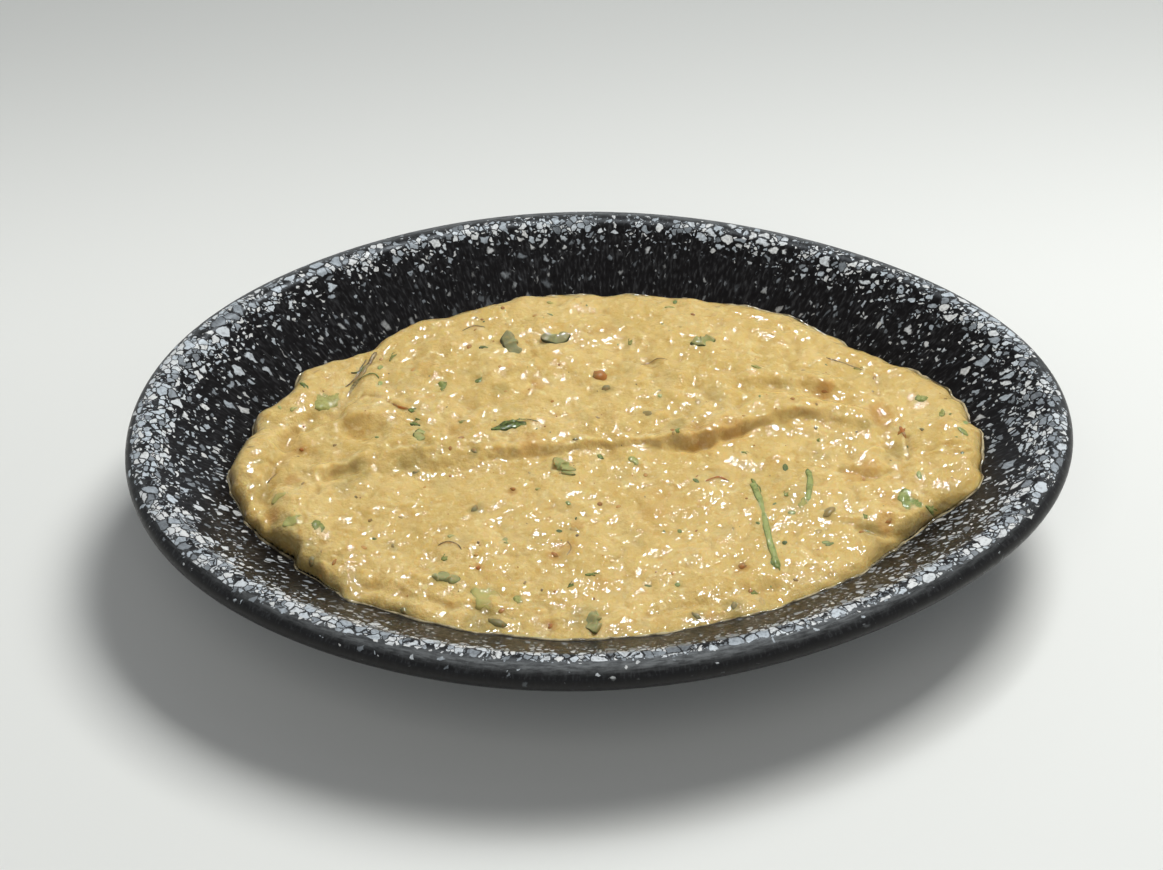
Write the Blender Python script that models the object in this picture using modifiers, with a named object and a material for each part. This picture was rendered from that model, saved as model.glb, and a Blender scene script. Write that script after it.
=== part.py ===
"""Baba ganoush in its thick-lipped oval bowl.

Two pieces: the moulded bowl, and the dip that fills it up to the level shown.
Metres, +Z up. The bowl's length lies along X, its more pointed end towards +X,
and the origin is at the centre of the foot.

Both pieces start as turned blanks. Each vertex of a blank is then moved to the bowl's
egg-shaped oval by its inset, which is its distance inwards from the outer outline.
"""

import math

import bmesh
import bpy
from mathutils import Vector, noise

# ---- driving dimensions -------------------------------------------------------------

LENGTH = 0.240          # outside, along X
WIDTH = 0.1676          # outside, along Y
HEIGHT = 0.040          # foot to the crest of the lip
END_POINT = 0.051       # how much narrower the +X end is than the -X end
END_TAPER = 0.092       # how much both ends draw in from a plain oval
END_BLUNT = 0.080       # how much their very tips fill out again

LIP_HALF_WIDTH = 0.0048     # the lip's section is a rounded oval
LIP_HALF_DEPTH = 0.0043
LIP_UNDERCUT = math.radians(10)     # slope of the surface where the lip turns under
WALL_SLOPE = math.radians(35)       # inner wall, from level
WALL_THICKNESS = 0.0045
WALL_START = 0.020          # inset at which the outer wall leaves the lip's underside
FLOOR_TOP = 0.0060          # height of the inner floor
FLOOR_ROUND = 0.030         # radius between the floor and the inner wall
FOOT_HEIGHT = 0.0032
FOOT_INSET = 0.051
FOOT_ROUND = 0.0012

FIT_GAP = 0.0003            # between the dip and the bowl
DIP_INSET = 0.0232          # inset of the dip's edge where it follows the wall
DIP_LEVEL = 0.0305          # height of the dip's near half
DIP_SHOULDER = 0.0085       # width of the rounded shoulder along the dip's edge
RIDGE_HEIGHT = 0.0026       # step left across the dip by the back of a spoon
RIDGE_CENTRE_Y = 0.0010
RIDGE_HEADING = 0.045       # metres of Y for each metre of X along the ridge
RIDGE_BEND_X = 0.026        # where the ridge turns away from the near edge
RIDGE_BEND_LENGTH = 0.022
RIDGE_BEND_Y = 0.0065
RIDGE_FACE = 0.0016         # half the width of the steep face
RIDGE_FALL = 0.032          # distance over which the far side sinks back
LUMP_HEIGHT = 0.0005
LUMP_SPACING = 0.011

SEGMENTS = 88

# Places where the dip's edge leaves the even inset: heading in degrees from +X,
# half-width of the bay in degrees, and inset added (negative comes further up the wall).
EDGE_BAYS = [
    (168, 34, 0.0030),
    (168, 5, 0.0026),
    (152, 6, 0.0036),
    (132, 9, 0.0044),
    (111, 11, 0.0020),
    (39, 11, 0.0022),
    (2, 4, -0.0020),
    (205, 15, 0.0062),
    (200, 9, -0.0036),
    (268, 30, -0.0040),
    (328, 17, 0.0048),
    (344, 7, -0.0038),
]

# Soft mounds on the dip: x, y, radius, height.
MOUNDS = [
    (-0.086, 0.006, 0.013, 0.0024),
    (-0.062, 0.021, 0.014, 0.0022),
    (-0.066, -0.021, 0.016, 0.0020),
    (-0.071, -0.003, 0.009, -0.0016),
    (0.088, 0.002, 0.014, 0.0028),
    (0.073, 0.001, 0.006, -0.0018),
    (0.030, 0.034, 0.018, 0.0010),
    (-0.014, 0.044, 0.016, 0.0010),
]

HALF_LENGTH = LENGTH / 2
HALF_WIDTH = WIDTH / 2


# ---- the oval ------------------------------------------------------------------------

def lip_point(slope, side):
    """Inset and height on the lip's section where its surface has this slope.

    side +1 is the upper inner quarter and -1 the lower outer one.
    """
    across = LIP_HALF_WIDTH ** 2 * math.sin(slope)
    up = LIP_HALF_DEPTH ** 2 * math.cos(slope)
    size = math.hypot(LIP_HALF_WIDTH * math.sin(slope), LIP_HALF_DEPTH * math.cos(slope))
    centre_z = HEIGHT - LIP_HALF_DEPTH
    return LIP_HALF_WIDTH + side * across / size, centre_z + side * up / size


WALL_TOP_INSET, WALL_TOP_Z = lip_point(WALL_SLOPE, 1)
# Where the straight wall would reach the floor, and how much of each the round takes.
CORNER_INSET = WALL_TOP_INSET + (WALL_TOP_Z - FLOOR_TOP) / math.tan(WALL_SLOPE)
CORNER_REACH = FLOOR_ROUND * math.tan(WALL_SLOPE / 2)
FLOOR_INSET = CORNER_INSET + CORNER_REACH
WALL_END_INSET = CORNER_INSET - CORNER_REACH * math.cos(WALL_SLOPE)


def inner_height(inset):
    """Height of the bowl's inner surface at an inset below the lip."""
    if inset <= WALL_END_INSET:
        return WALL_TOP_Z - (inset - WALL_TOP_INSET) * math.tan(WALL_SLOPE)
    if inset < FLOOR_INSET:
        across = FLOOR_INSET - inset
        return FLOOR_TOP + FLOOR_ROUND - math.sqrt(FLOOR_ROUND ** 2 - across ** 2)
    return FLOOR_TOP


def oval_point(inset, heading):
    """Plan position at an inset from the outline, for a heading in radians."""
    along = HALF_LENGTH - inset
    across = HALF_WIDTH - inset
    if inset > FLOOR_INSET:
        across = (HALF_WIDTH - FLOOR_INSET) * along / (HALF_LENGTH - FLOOR_INSET)
    end = math.cos(heading)
    shape = (1 - END_POINT * end) * (1 - END_TAPER * end ** 2 + END_BLUNT * end ** 4)
    return along * end, across * math.sin(heading) * shape


def blank_point(inset, height):
    """Profile point of a turned blank, whose radius is the half-length less the inset."""
    return Vector((HALF_LENGTH - inset, 0, height))


# ---- modelling helpers -----------------------------------------------------------------

def quadratic(start, control, end, steps):
    """Points after the start of a quadratic curve through inset and height."""
    points = []
    for step in range(1, steps + 1):
        t = step / steps
        points.append(tuple(
            (1 - t) ** 2 * start[i] + 2 * t * (1 - t) * control[i] + t ** 2 * end[i]
            for i in range(2)))
    return points


def turn(name, profile):
    """Turn a profile of (inset, height) pairs, from the top centre to the bottom centre."""
    points = [blank_point(inset, height) for inset, height in profile]
    mesh = bpy.data.meshes.new(name + "_profile")
    mesh.from_pydata(points, [(i, i + 1) for i in range(len(points) - 1)], [])
    blank = bpy.data.objects.new(name + "_profile", mesh)
    bpy.context.scene.collection.objects.link(blank)
    screw = blank.modifiers.new("turn", 'SCREW')
    screw.steps = SEGMENTS
    screw.render_steps = SEGMENTS
    screw.use_merge_vertices = True
    screw.merge_threshold = 0.00002
    evaluated = blank.evaluated_get(bpy.context.evaluated_depsgraph_get())
    turned = bpy.data.meshes.new_from_object(evaluated)
    turned.name = name
    bpy.data.objects.remove(blank)
    return turned


def reshape(mesh, move):
    """Move every vertex by a function of its inset, heading and height on the blank."""
    solid = bmesh.new()
    solid.from_mesh(mesh)
    for vertex in solid.verts:
        radius = math.hypot(vertex.co.x, vertex.co.y)
        heading = math.atan2(vertex.co.y, vertex.co.x)
        vertex.co = move(HALF_LENGTH - radius, heading, vertex.co.z)
    bmesh.ops.triangulate(solid, faces=solid.faces)
    solid.to_mesh(mesh)
    solid.free()
    mesh.shade_smooth()


def plain_material(name, color, roughness):
    material = bpy.data.materials.new(name)
    material.use_nodes = True
    shader = material.node_tree.nodes["Principled BSDF"]
    shader.inputs["Base Color"].default_value = (*color, 1)
    shader.inputs["Roughness"].default_value = roughness
    shader.inputs["Metallic"].default_value = 0
    return material


def add_part(collection, mesh, material):
    part = bpy.data.objects.new(mesh.name, mesh)
    mesh.materials.clear()
    mesh.materials.append(material)
    collection.objects.link(part)
    return part


# ---- the bowl ----------------------------------------------------------------------------

def bowl_profile():
    """Section of the bowl from the inner floor's centre, over the lip, to the foot's centre."""
    profile = [(HALF_LENGTH, FLOOR_TOP)]
    for inset_share in (0.5, 0.0):
        profile.append((FLOOR_INSET + inset_share * (HALF_LENGTH - FLOOR_INSET), FLOOR_TOP))
    for inset in floor_round_insets(5):
        profile.append((inset, inner_height(inset)))
    profile.append((DIP_INSET, inner_height(DIP_INSET)))

    # The lip's round, from the slope of the wall over the crest to the underside.
    centre_z = HEIGHT - LIP_HALF_DEPTH
    under_inset, under_z = lip_point(LIP_UNDERCUT, -1)
    first = math.atan2((WALL_TOP_Z - centre_z) / LIP_HALF_DEPTH,
                       (WALL_TOP_INSET - LIP_HALF_WIDTH) / LIP_HALF_WIDTH)
    last = math.atan2((under_z - centre_z) / LIP_HALF_DEPTH,
                      (under_inset - LIP_HALF_WIDTH) / LIP_HALF_WIDTH) + 2 * math.pi
    for angle in lip_angles(first, last):
        profile.append((LIP_HALF_WIDTH * (1 + math.cos(angle)),
                        centre_z + LIP_HALF_DEPTH * math.sin(angle)))

    # The underside runs from the lip into the outer wall, which keeps the wall's thickness.
    drop = WALL_THICKNESS / math.cos(WALL_SLOPE)
    meet = (inner_height(0) - drop - under_z - under_inset * math.tan(LIP_UNDERCUT)) / (
        math.tan(WALL_SLOPE) - math.tan(LIP_UNDERCUT))
    control = (meet, inner_height(meet) - drop)
    wall_start = (WALL_START, inner_height(WALL_START) - drop)
    profile += quadratic((under_inset, under_z), control, wall_start, 4)

    # Outer wall down to the foot, then the foot's side and its flat underside.
    profile.append((FOOT_INSET - FOOT_ROUND, FOOT_HEIGHT + FOOT_ROUND / 2))
    profile.append((FOOT_INSET, FOOT_HEIGHT))
    profile.append((FOOT_INSET, FOOT_ROUND))
    profile.append((FOOT_INSET + FOOT_ROUND * 0.3, FOOT_ROUND * 0.3))
    profile.append((FOOT_INSET + FOOT_ROUND, 0))
    profile.append((HALF_LENGTH, 0))
    return profile


def floor_round_insets(steps):
    """Insets along the round between floor and wall, in even turns."""
    return [FLOOR_INSET - FLOOR_ROUND * math.sin(WALL_SLOPE * step / steps)
            for step in range(1, steps + 1)]


def lip_angles(first, last):
    """Even steps round the lip that also touch its crest and its widest point."""
    crest = math.pi / 2
    widest = math.pi
    angles = []
    for low, high, steps in ((first, crest, 3), (crest, widest, 5), (widest, last, 4)):
        angles += [low + (high - low) * step / steps for step in range(steps)]
    angles.append(last)
    return angles


def build_bowl(collection):
    mesh = turn("bowl", bowl_profile())

    def to_oval(inset, heading, height):
        x, y = oval_point(inset, heading)
        return Vector((x, y, height))

    reshape(mesh, to_oval)
    melamine = plain_material("black_speckled_melamine", (0.022, 0.022, 0.026), 0.28)
    return add_part(collection, mesh, melamine)


# ---- the dip -----------------------------------------------------------------------------

def edge_inset(heading):
    """Inset of the dip's edge, with the bays where it falls short of the wall."""
    inset = DIP_INSET
    for centre, half_width, depth in EDGE_BAYS:
        away = math.degrees(heading) - centre
        away = (away + 180) % 360 - 180
        inset += depth * math.exp(-(away / half_width) ** 2)
    return inset


def ridge(x, y):
    """Step across the dip: a steep near face and a far side that sinks back slowly."""
    bend = min(max((x - RIDGE_BEND_X) / RIDGE_BEND_LENGTH, 0), 1)
    line = RIDGE_CENTRE_Y + RIDGE_HEADING * x + RIDGE_BEND_Y * bend * bend * (3 - 2 * bend)
    across = y - line - 0.0006 * math.sin(x / 0.0051)
    strength = math.exp(-((x - 0.018) / 0.058) ** 4)
    if across < -RIDGE_FACE:
        return 0
    if across < RIDGE_FACE:
        t = (across + RIDGE_FACE) / (2 * RIDGE_FACE)
        return RIDGE_HEIGHT * strength * t * t * (3 - 2 * t)
    fall = math.exp(-((across - RIDGE_FACE) / RIDGE_FALL) ** 1.3)
    return RIDGE_HEIGHT * strength * (0.25 + 0.75 * fall)


def dip_height(x, y):
    """Height of the dip's top away from its edge."""
    height = DIP_LEVEL + ridge(x, y)
    for centre_x, centre_y, radius, rise in MOUNDS:
        away = math.hypot(x - centre_x, y - centre_y) / radius
        height += rise * math.exp(-away ** 2)
    lump = noise.noise(Vector((x, y, 0)) / LUMP_SPACING)
    return height + LUMP_HEIGHT * lump


def dip_profile():
    """Blank for the dip: its upper side, its edge and its under side, on unit heights."""
    upper_rings = 17
    profile = []
    for ring in range(upper_rings, 0, -1):
        profile.append((DIP_INSET + (HALF_LENGTH - DIP_INSET) * (ring / upper_rings) ** 1.5, 1))
    profile.append((DIP_INSET, 0))
    for inset in reversed(floor_round_insets(5)):
        profile.append((inset, -1))
    profile.append((FLOOR_INSET, -1))
    profile.append((HALF_LENGTH, -1))
    return profile


def build_dip(collection):
    mesh = turn("baba_ganoush", dip_profile())
    steep = FIT_GAP / math.cos(WALL_SLOPE)

    def to_dip(inset, heading, side):
        edge = edge_inset(heading)
        if side < 0:
            x, y = oval_point(inset, heading)
            return Vector((x, y, inner_height(inset) + steep))
        share = (inset - DIP_INSET) / (HALF_LENGTH - DIP_INSET)
        top_inset = edge + share * (HALF_LENGTH - edge)
        x, y = oval_point(top_inset, heading)
        contact = inner_height(edge) + steep
        inward = min(max((top_inset - edge) / DIP_SHOULDER, 0), 1)
        rise = math.sqrt(1 - (1 - inward) ** 2)
        return Vector((x, y, contact + (dip_height(x, y) - contact) * rise))

    reshape(mesh, to_dip)
    dip = plain_material("baba_ganoush_paste", (0.62, 0.45, 0.19), 0.38)
    return add_part(collection, mesh, dip)


# ---- build -------------------------------------------------------------------------------

def clear_scene():
    for item in list(bpy.data.objects):
        bpy.data.objects.remove(item, do_unlink=True)


def main():
    clear_scene()
    collection = bpy.data.collections.new("baba_ganoush_in_bowl")
    bpy.context.scene.collection.children.link(collection)
    for part in (build_bowl(collection), build_dip(collection)):
        print(part.name, len(part.data.polygons), "triangles",
              [round(size * 1000, 1) for size in part.dimensions], "mm")


main()
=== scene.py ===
# %% [markdown]
# # A dish of baba ganoush
#
# Baba ganoush is a dip of roasted aubergine and sesame paste. Here it fills a thick-lipped
# oval bowl of black melamine with stone-like chips in it. This lesson dresses the two plain
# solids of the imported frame: the bowl and the dip. Everything is in metres, with +Z up and
# the bowl's length along X.

# %% Load the frame
import math

import bmesh
import bpy
import numpy as np
from mathutils import Matrix, Vector
from mathutils.bvhtree import BVHTree
from mathutils.kdtree import KDTree


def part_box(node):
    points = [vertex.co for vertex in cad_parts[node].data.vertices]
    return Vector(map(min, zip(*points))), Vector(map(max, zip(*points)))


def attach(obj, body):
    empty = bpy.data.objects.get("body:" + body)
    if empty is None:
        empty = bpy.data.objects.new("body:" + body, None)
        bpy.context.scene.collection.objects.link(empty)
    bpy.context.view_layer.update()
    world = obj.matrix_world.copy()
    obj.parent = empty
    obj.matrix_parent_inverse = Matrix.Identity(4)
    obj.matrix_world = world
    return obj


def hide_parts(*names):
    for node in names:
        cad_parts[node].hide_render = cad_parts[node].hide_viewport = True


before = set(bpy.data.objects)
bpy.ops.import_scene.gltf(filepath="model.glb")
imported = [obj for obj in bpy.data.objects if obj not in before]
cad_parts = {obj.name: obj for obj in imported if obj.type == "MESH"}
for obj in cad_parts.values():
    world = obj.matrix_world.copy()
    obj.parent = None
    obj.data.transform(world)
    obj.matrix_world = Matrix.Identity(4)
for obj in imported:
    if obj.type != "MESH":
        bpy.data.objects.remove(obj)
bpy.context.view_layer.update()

bowl_low, bowl_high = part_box("bowl")
dip_low, dip_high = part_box("baba_ganoush")
MM = 0.001
print("bowl is", [round((high - low) / MM, 1) for low, high in zip(bowl_low, bowl_high)], "mm")

# %% [markdown]
# ## The oval
#
# The bowl isn't a true ellipse. One end is a little more pointed, and both ends draw in, like
# a boat. A point on it is named by its heading round the bowl and by its inset, the distance
# inwards from the outer outline. Two small functions turn those into a place, so the bowl, the
# dip and the wet line along the dip's edge all use the same shape and meet without fitting.

# %% The oval, the lip and the wall
HALF_LENGTH = (bowl_high[0] - bowl_low[0]) / 2
HALF_WIDTH = 83.8 * MM
HEIGHT = bowl_high[2]
END_POINT = 0.051
END_TAPER = 0.092
END_BLUNT = 0.080

LIP_HALF_WIDTH = 4.8 * MM
LIP_HALF_DEPTH = 4.3 * MM
LIP_UNDERCUT = math.radians(10)
WALL_SLOPE = math.radians(35)
WALL_THICKNESS = 4.5 * MM
WALL_START = 20 * MM
FLOOR_TOP = 6 * MM
FLOOR_ROUND = 30 * MM
FOOT_HEIGHT = 3.2 * MM
FOOT_INSET = 51 * MM
FOOT_ROUND = 1.2 * MM


def lip_point(slope, side):
    """Inset and height where the lip's oval section has a slope: side 1 above, -1 below."""
    across = LIP_HALF_WIDTH ** 2 * math.sin(slope)
    up = LIP_HALF_DEPTH ** 2 * math.cos(slope)
    size = math.hypot(LIP_HALF_WIDTH * math.sin(slope), LIP_HALF_DEPTH * math.cos(slope))
    return LIP_HALF_WIDTH + side * across / size, HEIGHT - LIP_HALF_DEPTH + side * up / size


WALL_TOP_INSET, WALL_TOP_Z = lip_point(WALL_SLOPE, 1)
CORNER_INSET = WALL_TOP_INSET + (WALL_TOP_Z - FLOOR_TOP) / math.tan(WALL_SLOPE)
CORNER_REACH = FLOOR_ROUND * math.tan(WALL_SLOPE / 2)
FLOOR_INSET = CORNER_INSET + CORNER_REACH
WALL_END_INSET = CORNER_INSET - CORNER_REACH * math.cos(WALL_SLOPE)


def inner_height(inset):
    """Height of the bowl's inner surface at an inset below the lip."""
    if inset <= WALL_END_INSET:
        return WALL_TOP_Z - (inset - WALL_TOP_INSET) * math.tan(WALL_SLOPE)
    if inset < FLOOR_INSET:
        across = FLOOR_INSET - inset
        return FLOOR_TOP + FLOOR_ROUND - math.sqrt(FLOOR_ROUND ** 2 - across ** 2)
    return FLOOR_TOP


def oval_shape(end):
    """Width at a place along the oval, as a share of a plain ellipse's; end is -1 to 1."""
    return (1 - END_POINT * end) * (1 - END_TAPER * end ** 2 + END_BLUNT * end ** 4)


def oval_point(inset, heading):
    """Plan position at an inset from the outline, for a heading in radians."""
    along = HALF_LENGTH - inset
    across = HALF_WIDTH - inset
    if inset > FLOOR_INSET:
        across = (HALF_WIDTH - FLOOR_INSET) * along / (HALF_LENGTH - FLOOR_INSET)
    end = math.cos(heading)
    return along * end, across * math.sin(heading) * oval_shape(end)


print("straight wall from inset", round(WALL_TOP_INSET / MM, 1), "to",
      round(WALL_END_INSET / MM, 1), "mm")

# %% [markdown]
# ## Small helpers
#
# A node tree is easier to read when one short call adds a node, sets its values and joins its
# inputs. The same helper serves the materials and the Geometry Nodes trees.

# %% Node and mesh helpers


def add_node(tree, kind, label=None, values=None, **settings):
    """Add a node; settings are its properties, values its inputs by name or number."""
    node = tree.nodes.new(kind)
    if label:
        node.label = label
    for name, value in settings.items():
        setattr(node, name, value)
    for key, value in (values or {}).items():
        plug = node.inputs[key]
        if isinstance(value, bpy.types.NodeSocket):
            tree.links.new(value, plug)
        else:
            plug.default_value = value
    return node


def math_node(tree, operation, first, second=0.0, third=0.0, clamp=False):
    """A Math node's output; each input is a number or a socket."""
    node = add_node(tree, 'ShaderNodeMath', operation=operation, use_clamp=clamp,
                    values={0: first, 1: second, 2: third})
    return node.outputs[0]


def map_range(tree, value, low, high, to_low=0.0, to_high=1.0, smooth=True):
    """A clamped Map Range node's output."""
    kind = 'SMOOTHSTEP' if smooth else 'LINEAR'
    node = add_node(tree, 'ShaderNodeMapRange', interpolation_type=kind,
                    values={"Value": value, "From Min": low, "From Max": high,
                            "To Min": to_low, "To Max": to_high})
    return node.outputs["Result"]


def mix_color(tree, factor, first, second, blend='MIX'):
    """A Mix node's colour output."""
    node = add_node(tree, 'ShaderNodeMix', data_type='RGBA', blend_type=blend)
    for plug, value in ((node.inputs[0], factor), (node.inputs[6], first),
                        (node.inputs[7], second)):
        if isinstance(value, bpy.types.NodeSocket):
            tree.links.new(value, plug)
        elif plug is node.inputs[0]:
            plug.default_value = value
        else:
            plug.default_value = (*value, 1)
    return node.outputs[2]


def new_material(name, **numbers):
    """A Principled material; numbers are set on the shader's own sockets."""
    material = bpy.data.materials.new(name)
    material.use_nodes = True
    shader = material.node_tree.nodes["Principled BSDF"]
    for socket, value in numbers.items():
        shader.inputs[socket.replace("_", " ")].default_value = value
    return material, material.node_tree, shader


def noise_node(tree, scale, detail=2.0, roughness=0.5, vector=None, **values):
    """A 3-D noise pattern on Object coordinates; scale is in waves per metre."""
    if vector is None:
        vector = add_node(tree, 'ShaderNodeTexCoord').outputs["Object"]
    inputs = {"Vector": vector, "Scale": scale, "Detail": detail, "Roughness": roughness}
    inputs.update(values)
    return add_node(tree, 'ShaderNodeTexNoise', values=inputs)


def add_object(name, mesh, material=None):
    """Link a mesh as an object at the origin."""
    piece = bpy.data.objects.new(name, mesh)
    bpy.context.scene.collection.objects.link(piece)
    if material:
        mesh.materials.clear()
        mesh.materials.append(material)
    return piece


def finish_piece(piece, slot_name, *replaced):
    """Let a finished piece ride on the frame and hide the frame's parts it replaces; slot_name is not
    used.
    """
    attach(piece, "root")
    if replaced:
        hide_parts(*replaced)
    triangles = sum(len(face.vertices) - 2 for face in piece.data.polygons)
    print(piece.name, triangles, "triangles")


# %% [markdown]
# ## The bowl's finish
#
# Stone-look melamine is a black resin with crushed white and grey chips pressed into it. The
# chips crowd together along the lip, with only thin dark cracks between them, and thin out
# and sink deeper down the wall, where they look smaller, greyer and softer. Three Voronoi
# patterns of different cell sizes give large, middling and small chips. The pattern follows
# the bowl: it reads a place that runs round the lip and down the wall, drawn out where the
# wall was pressed. Other attributes say how thickly the chips lie and how bright they are.

# %% Chips of one size


def chip_layer(tree, place, size, cover, light, share):
    """Mask, random number and presence of one size of chip; share scales how many show."""
    scale = 1 / size
    edge = add_node(tree, 'ShaderNodeTexVoronoi', feature='DISTANCE_TO_EDGE',
                    values={"Vector": place, "Scale": scale})
    cell = add_node(tree, 'ShaderNodeTexVoronoi', feature='F1',
                    values={"Vector": place, "Scale": scale})
    dice = add_node(tree, 'ShaderNodeSeparateColor', values={0: cell.outputs["Color"]})
    chance = math_node(tree, 'MULTIPLY', cover, share)
    shown = math_node(tree, 'LESS_THAN', dice.outputs["Red"], chance)
    crack = map_range(tree, cover, 0.3, 1.0, 0.14, 0.03)
    softness = map_range(tree, light, 0.3, 0.9, 0.26, 0.08)
    crack_end = math_node(tree, 'ADD', crack, softness)
    body = map_range(tree, edge.outputs["Distance"], crack, crack_end)
    mask = math_node(tree, 'MULTIPLY', body, shown)
    return mask, dice.outputs["Green"], shown


# %% Melamine material


def melamine_material():
    material, tree, shader = new_material(
        "speckled_melamine", Roughness=0.35, Coat_Weight=0.0, Specular_IOR_Level=0.26)
    place = add_node(tree, 'ShaderNodeAttribute', attribute_name="chip_place").outputs["Vector"]
    cover = add_node(tree, 'ShaderNodeAttribute', attribute_name="chip_cover").outputs["Fac"]
    light = add_node(tree, 'ShaderNodeAttribute', attribute_name="chip_light").outputs["Fac"]
    crest_sheen = add_node(tree, 'ShaderNodeAttribute', attribute_name="crest_sheen").outputs["Fac"]
    wobble = noise_node(tree, 750, 3, vector=place)
    shift = add_node(tree, 'ShaderNodeVectorMath', operation='MULTIPLY_ADD',
                     values={0: wobble.outputs["Color"], 1: (0.0013, 0.0013, 0.0013),
                             2: place}).outputs[0]
    # Patches where the chips bunch together, and gaps between them.
    bunch = noise_node(tree, 160, 2, vector=place)
    cover = math_node(tree, 'MULTIPLY', cover,
                      map_range(tree, bunch.outputs["Fac"], 0.3, 0.7, 0.6, 1.25))
    sizes = [chip_layer(tree, shift, size, cover, light, share)
             for size, share in ((0.95 * MM, 0.60), (1.8 * MM, 0.80), (3.0 * MM, 0.40))]

    # Larger chips lie over the smaller ones.
    mask, bright, _ = sizes[0]
    for larger, dice, shown in sizes[1:]:
        below = math_node(tree, 'SUBTRACT', 1.0, shown)
        mask = math_node(tree, 'ADD', math_node(tree, 'MULTIPLY', mask, below), larger,
                         clamp=True)
        bright = math_node(tree, 'ADD', math_node(tree, 'MULTIPLY', bright, below),
                           math_node(tree, 'MULTIPLY', dice, shown))

    mottle = noise_node(tree, 1300, 3, vector=place)
    value = math_node(tree, 'MULTIPLY', map_range(tree, bright, 0.0, 0.55, 0.30, 1.0),
                      map_range(tree, mottle.outputs["Fac"], 0.3, 0.65, 0.62, 1.0))
    strength = math_node(tree, 'MULTIPLY', value, light)
    chip = mix_color(tree, map_range(tree, bright, 0.3, 1.0), (0.52, 0.58, 0.62),
                     (0.68, 0.69, 0.67))

    # The resin between them: black, faint drawn streaks, a painted grey sheen on the rim's crest.
    drawn = add_node(tree, 'ShaderNodeMapping', vector_type='POINT',
                     values={"Vector": place, "Scale": (1, 1, 0.4)}).outputs[0]
    streak = noise_node(tree, 1500, 3, vector=drawn)
    sheen_place = add_node(tree, 'ShaderNodeMapping', vector_type='POINT',
                      values={"Vector": place, "Scale": (0.3, 0.3, 1.6)}).outputs[0]
    sheen_breakup = noise_node(tree, 900, 4, 0.65, vector=sheen_place)
    drawing = math_node(tree, 'MULTIPLY', map_range(tree, streak.outputs["Fac"], 0.46, 0.75),
                        map_range(tree, light, 0.18, 0.30, 0.2, 1.0))
    resin = mix_color(tree, drawing, (0.0045, 0.0038, 0.0038), (0.030, 0.030, 0.031))
    # Painted sheen: grey mixed into the black resin along the lip's crest, the crest also rougher.
    painted_sheen = math_node(tree, 'MULTIPLY', crest_sheen, map_range(tree, sheen_breakup.outputs["Fac"], 0.3, 0.7,
                                                       0.25, 1.0))
    resin = mix_color(tree, painted_sheen, resin, (0.17, 0.18, 0.18))
    color = mix_color(tree, math_node(tree, 'MULTIPLY', mask, strength), resin, chip)
    tree.links.new(color, shader.inputs["Base Color"])

    grain = noise_node(tree, 700, 3)
    rough = map_range(tree, grain.outputs["Fac"], 0.3, 0.7, 0.28, 0.42)
    tree.links.new(math_node(tree, 'ADD', rough, math_node(tree, 'MULTIPLY', crest_sheen, 0.2)),
                   shader.inputs["Roughness"])
    height = math_node(tree, 'ADD', math_node(tree, 'MULTIPLY', mask, 0.25),
                       math_node(tree, 'MULTIPLY', grain.outputs["Fac"], 0.5))
    bump = add_node(tree, 'ShaderNodeBump', values={
        "Strength": 0.25, "Distance": 0.0002, "Height": height})
    tree.links.new(bump.outputs["Normal"], shader.inputs["Normal"])
    return material


melamine = melamine_material()

# %% [markdown]
# ## The bowl
#
# A potter would turn a round bowl and press it oval. The same two steps make it here: a Screw
# modifier turns the bowl's section into a round blank, and a short Geometry Nodes tree then
# moves every point sideways to the boat-shaped oval. Only Y changes, because the blank's
# radius is already the half-length less the inset.

# %% Section of the bowl
BOWL_STEPS = 256


def arc(centre, radii, first, last, steps):
    """Inset and height along part of an ellipse, without its first point."""
    points = []
    for step in range(1, steps + 1):
        angle = first + (last - first) * step / steps
        points.append((centre[0] + radii[0] * math.cos(angle),
                       centre[1] + radii[1] * math.sin(angle)))
    return points


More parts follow.
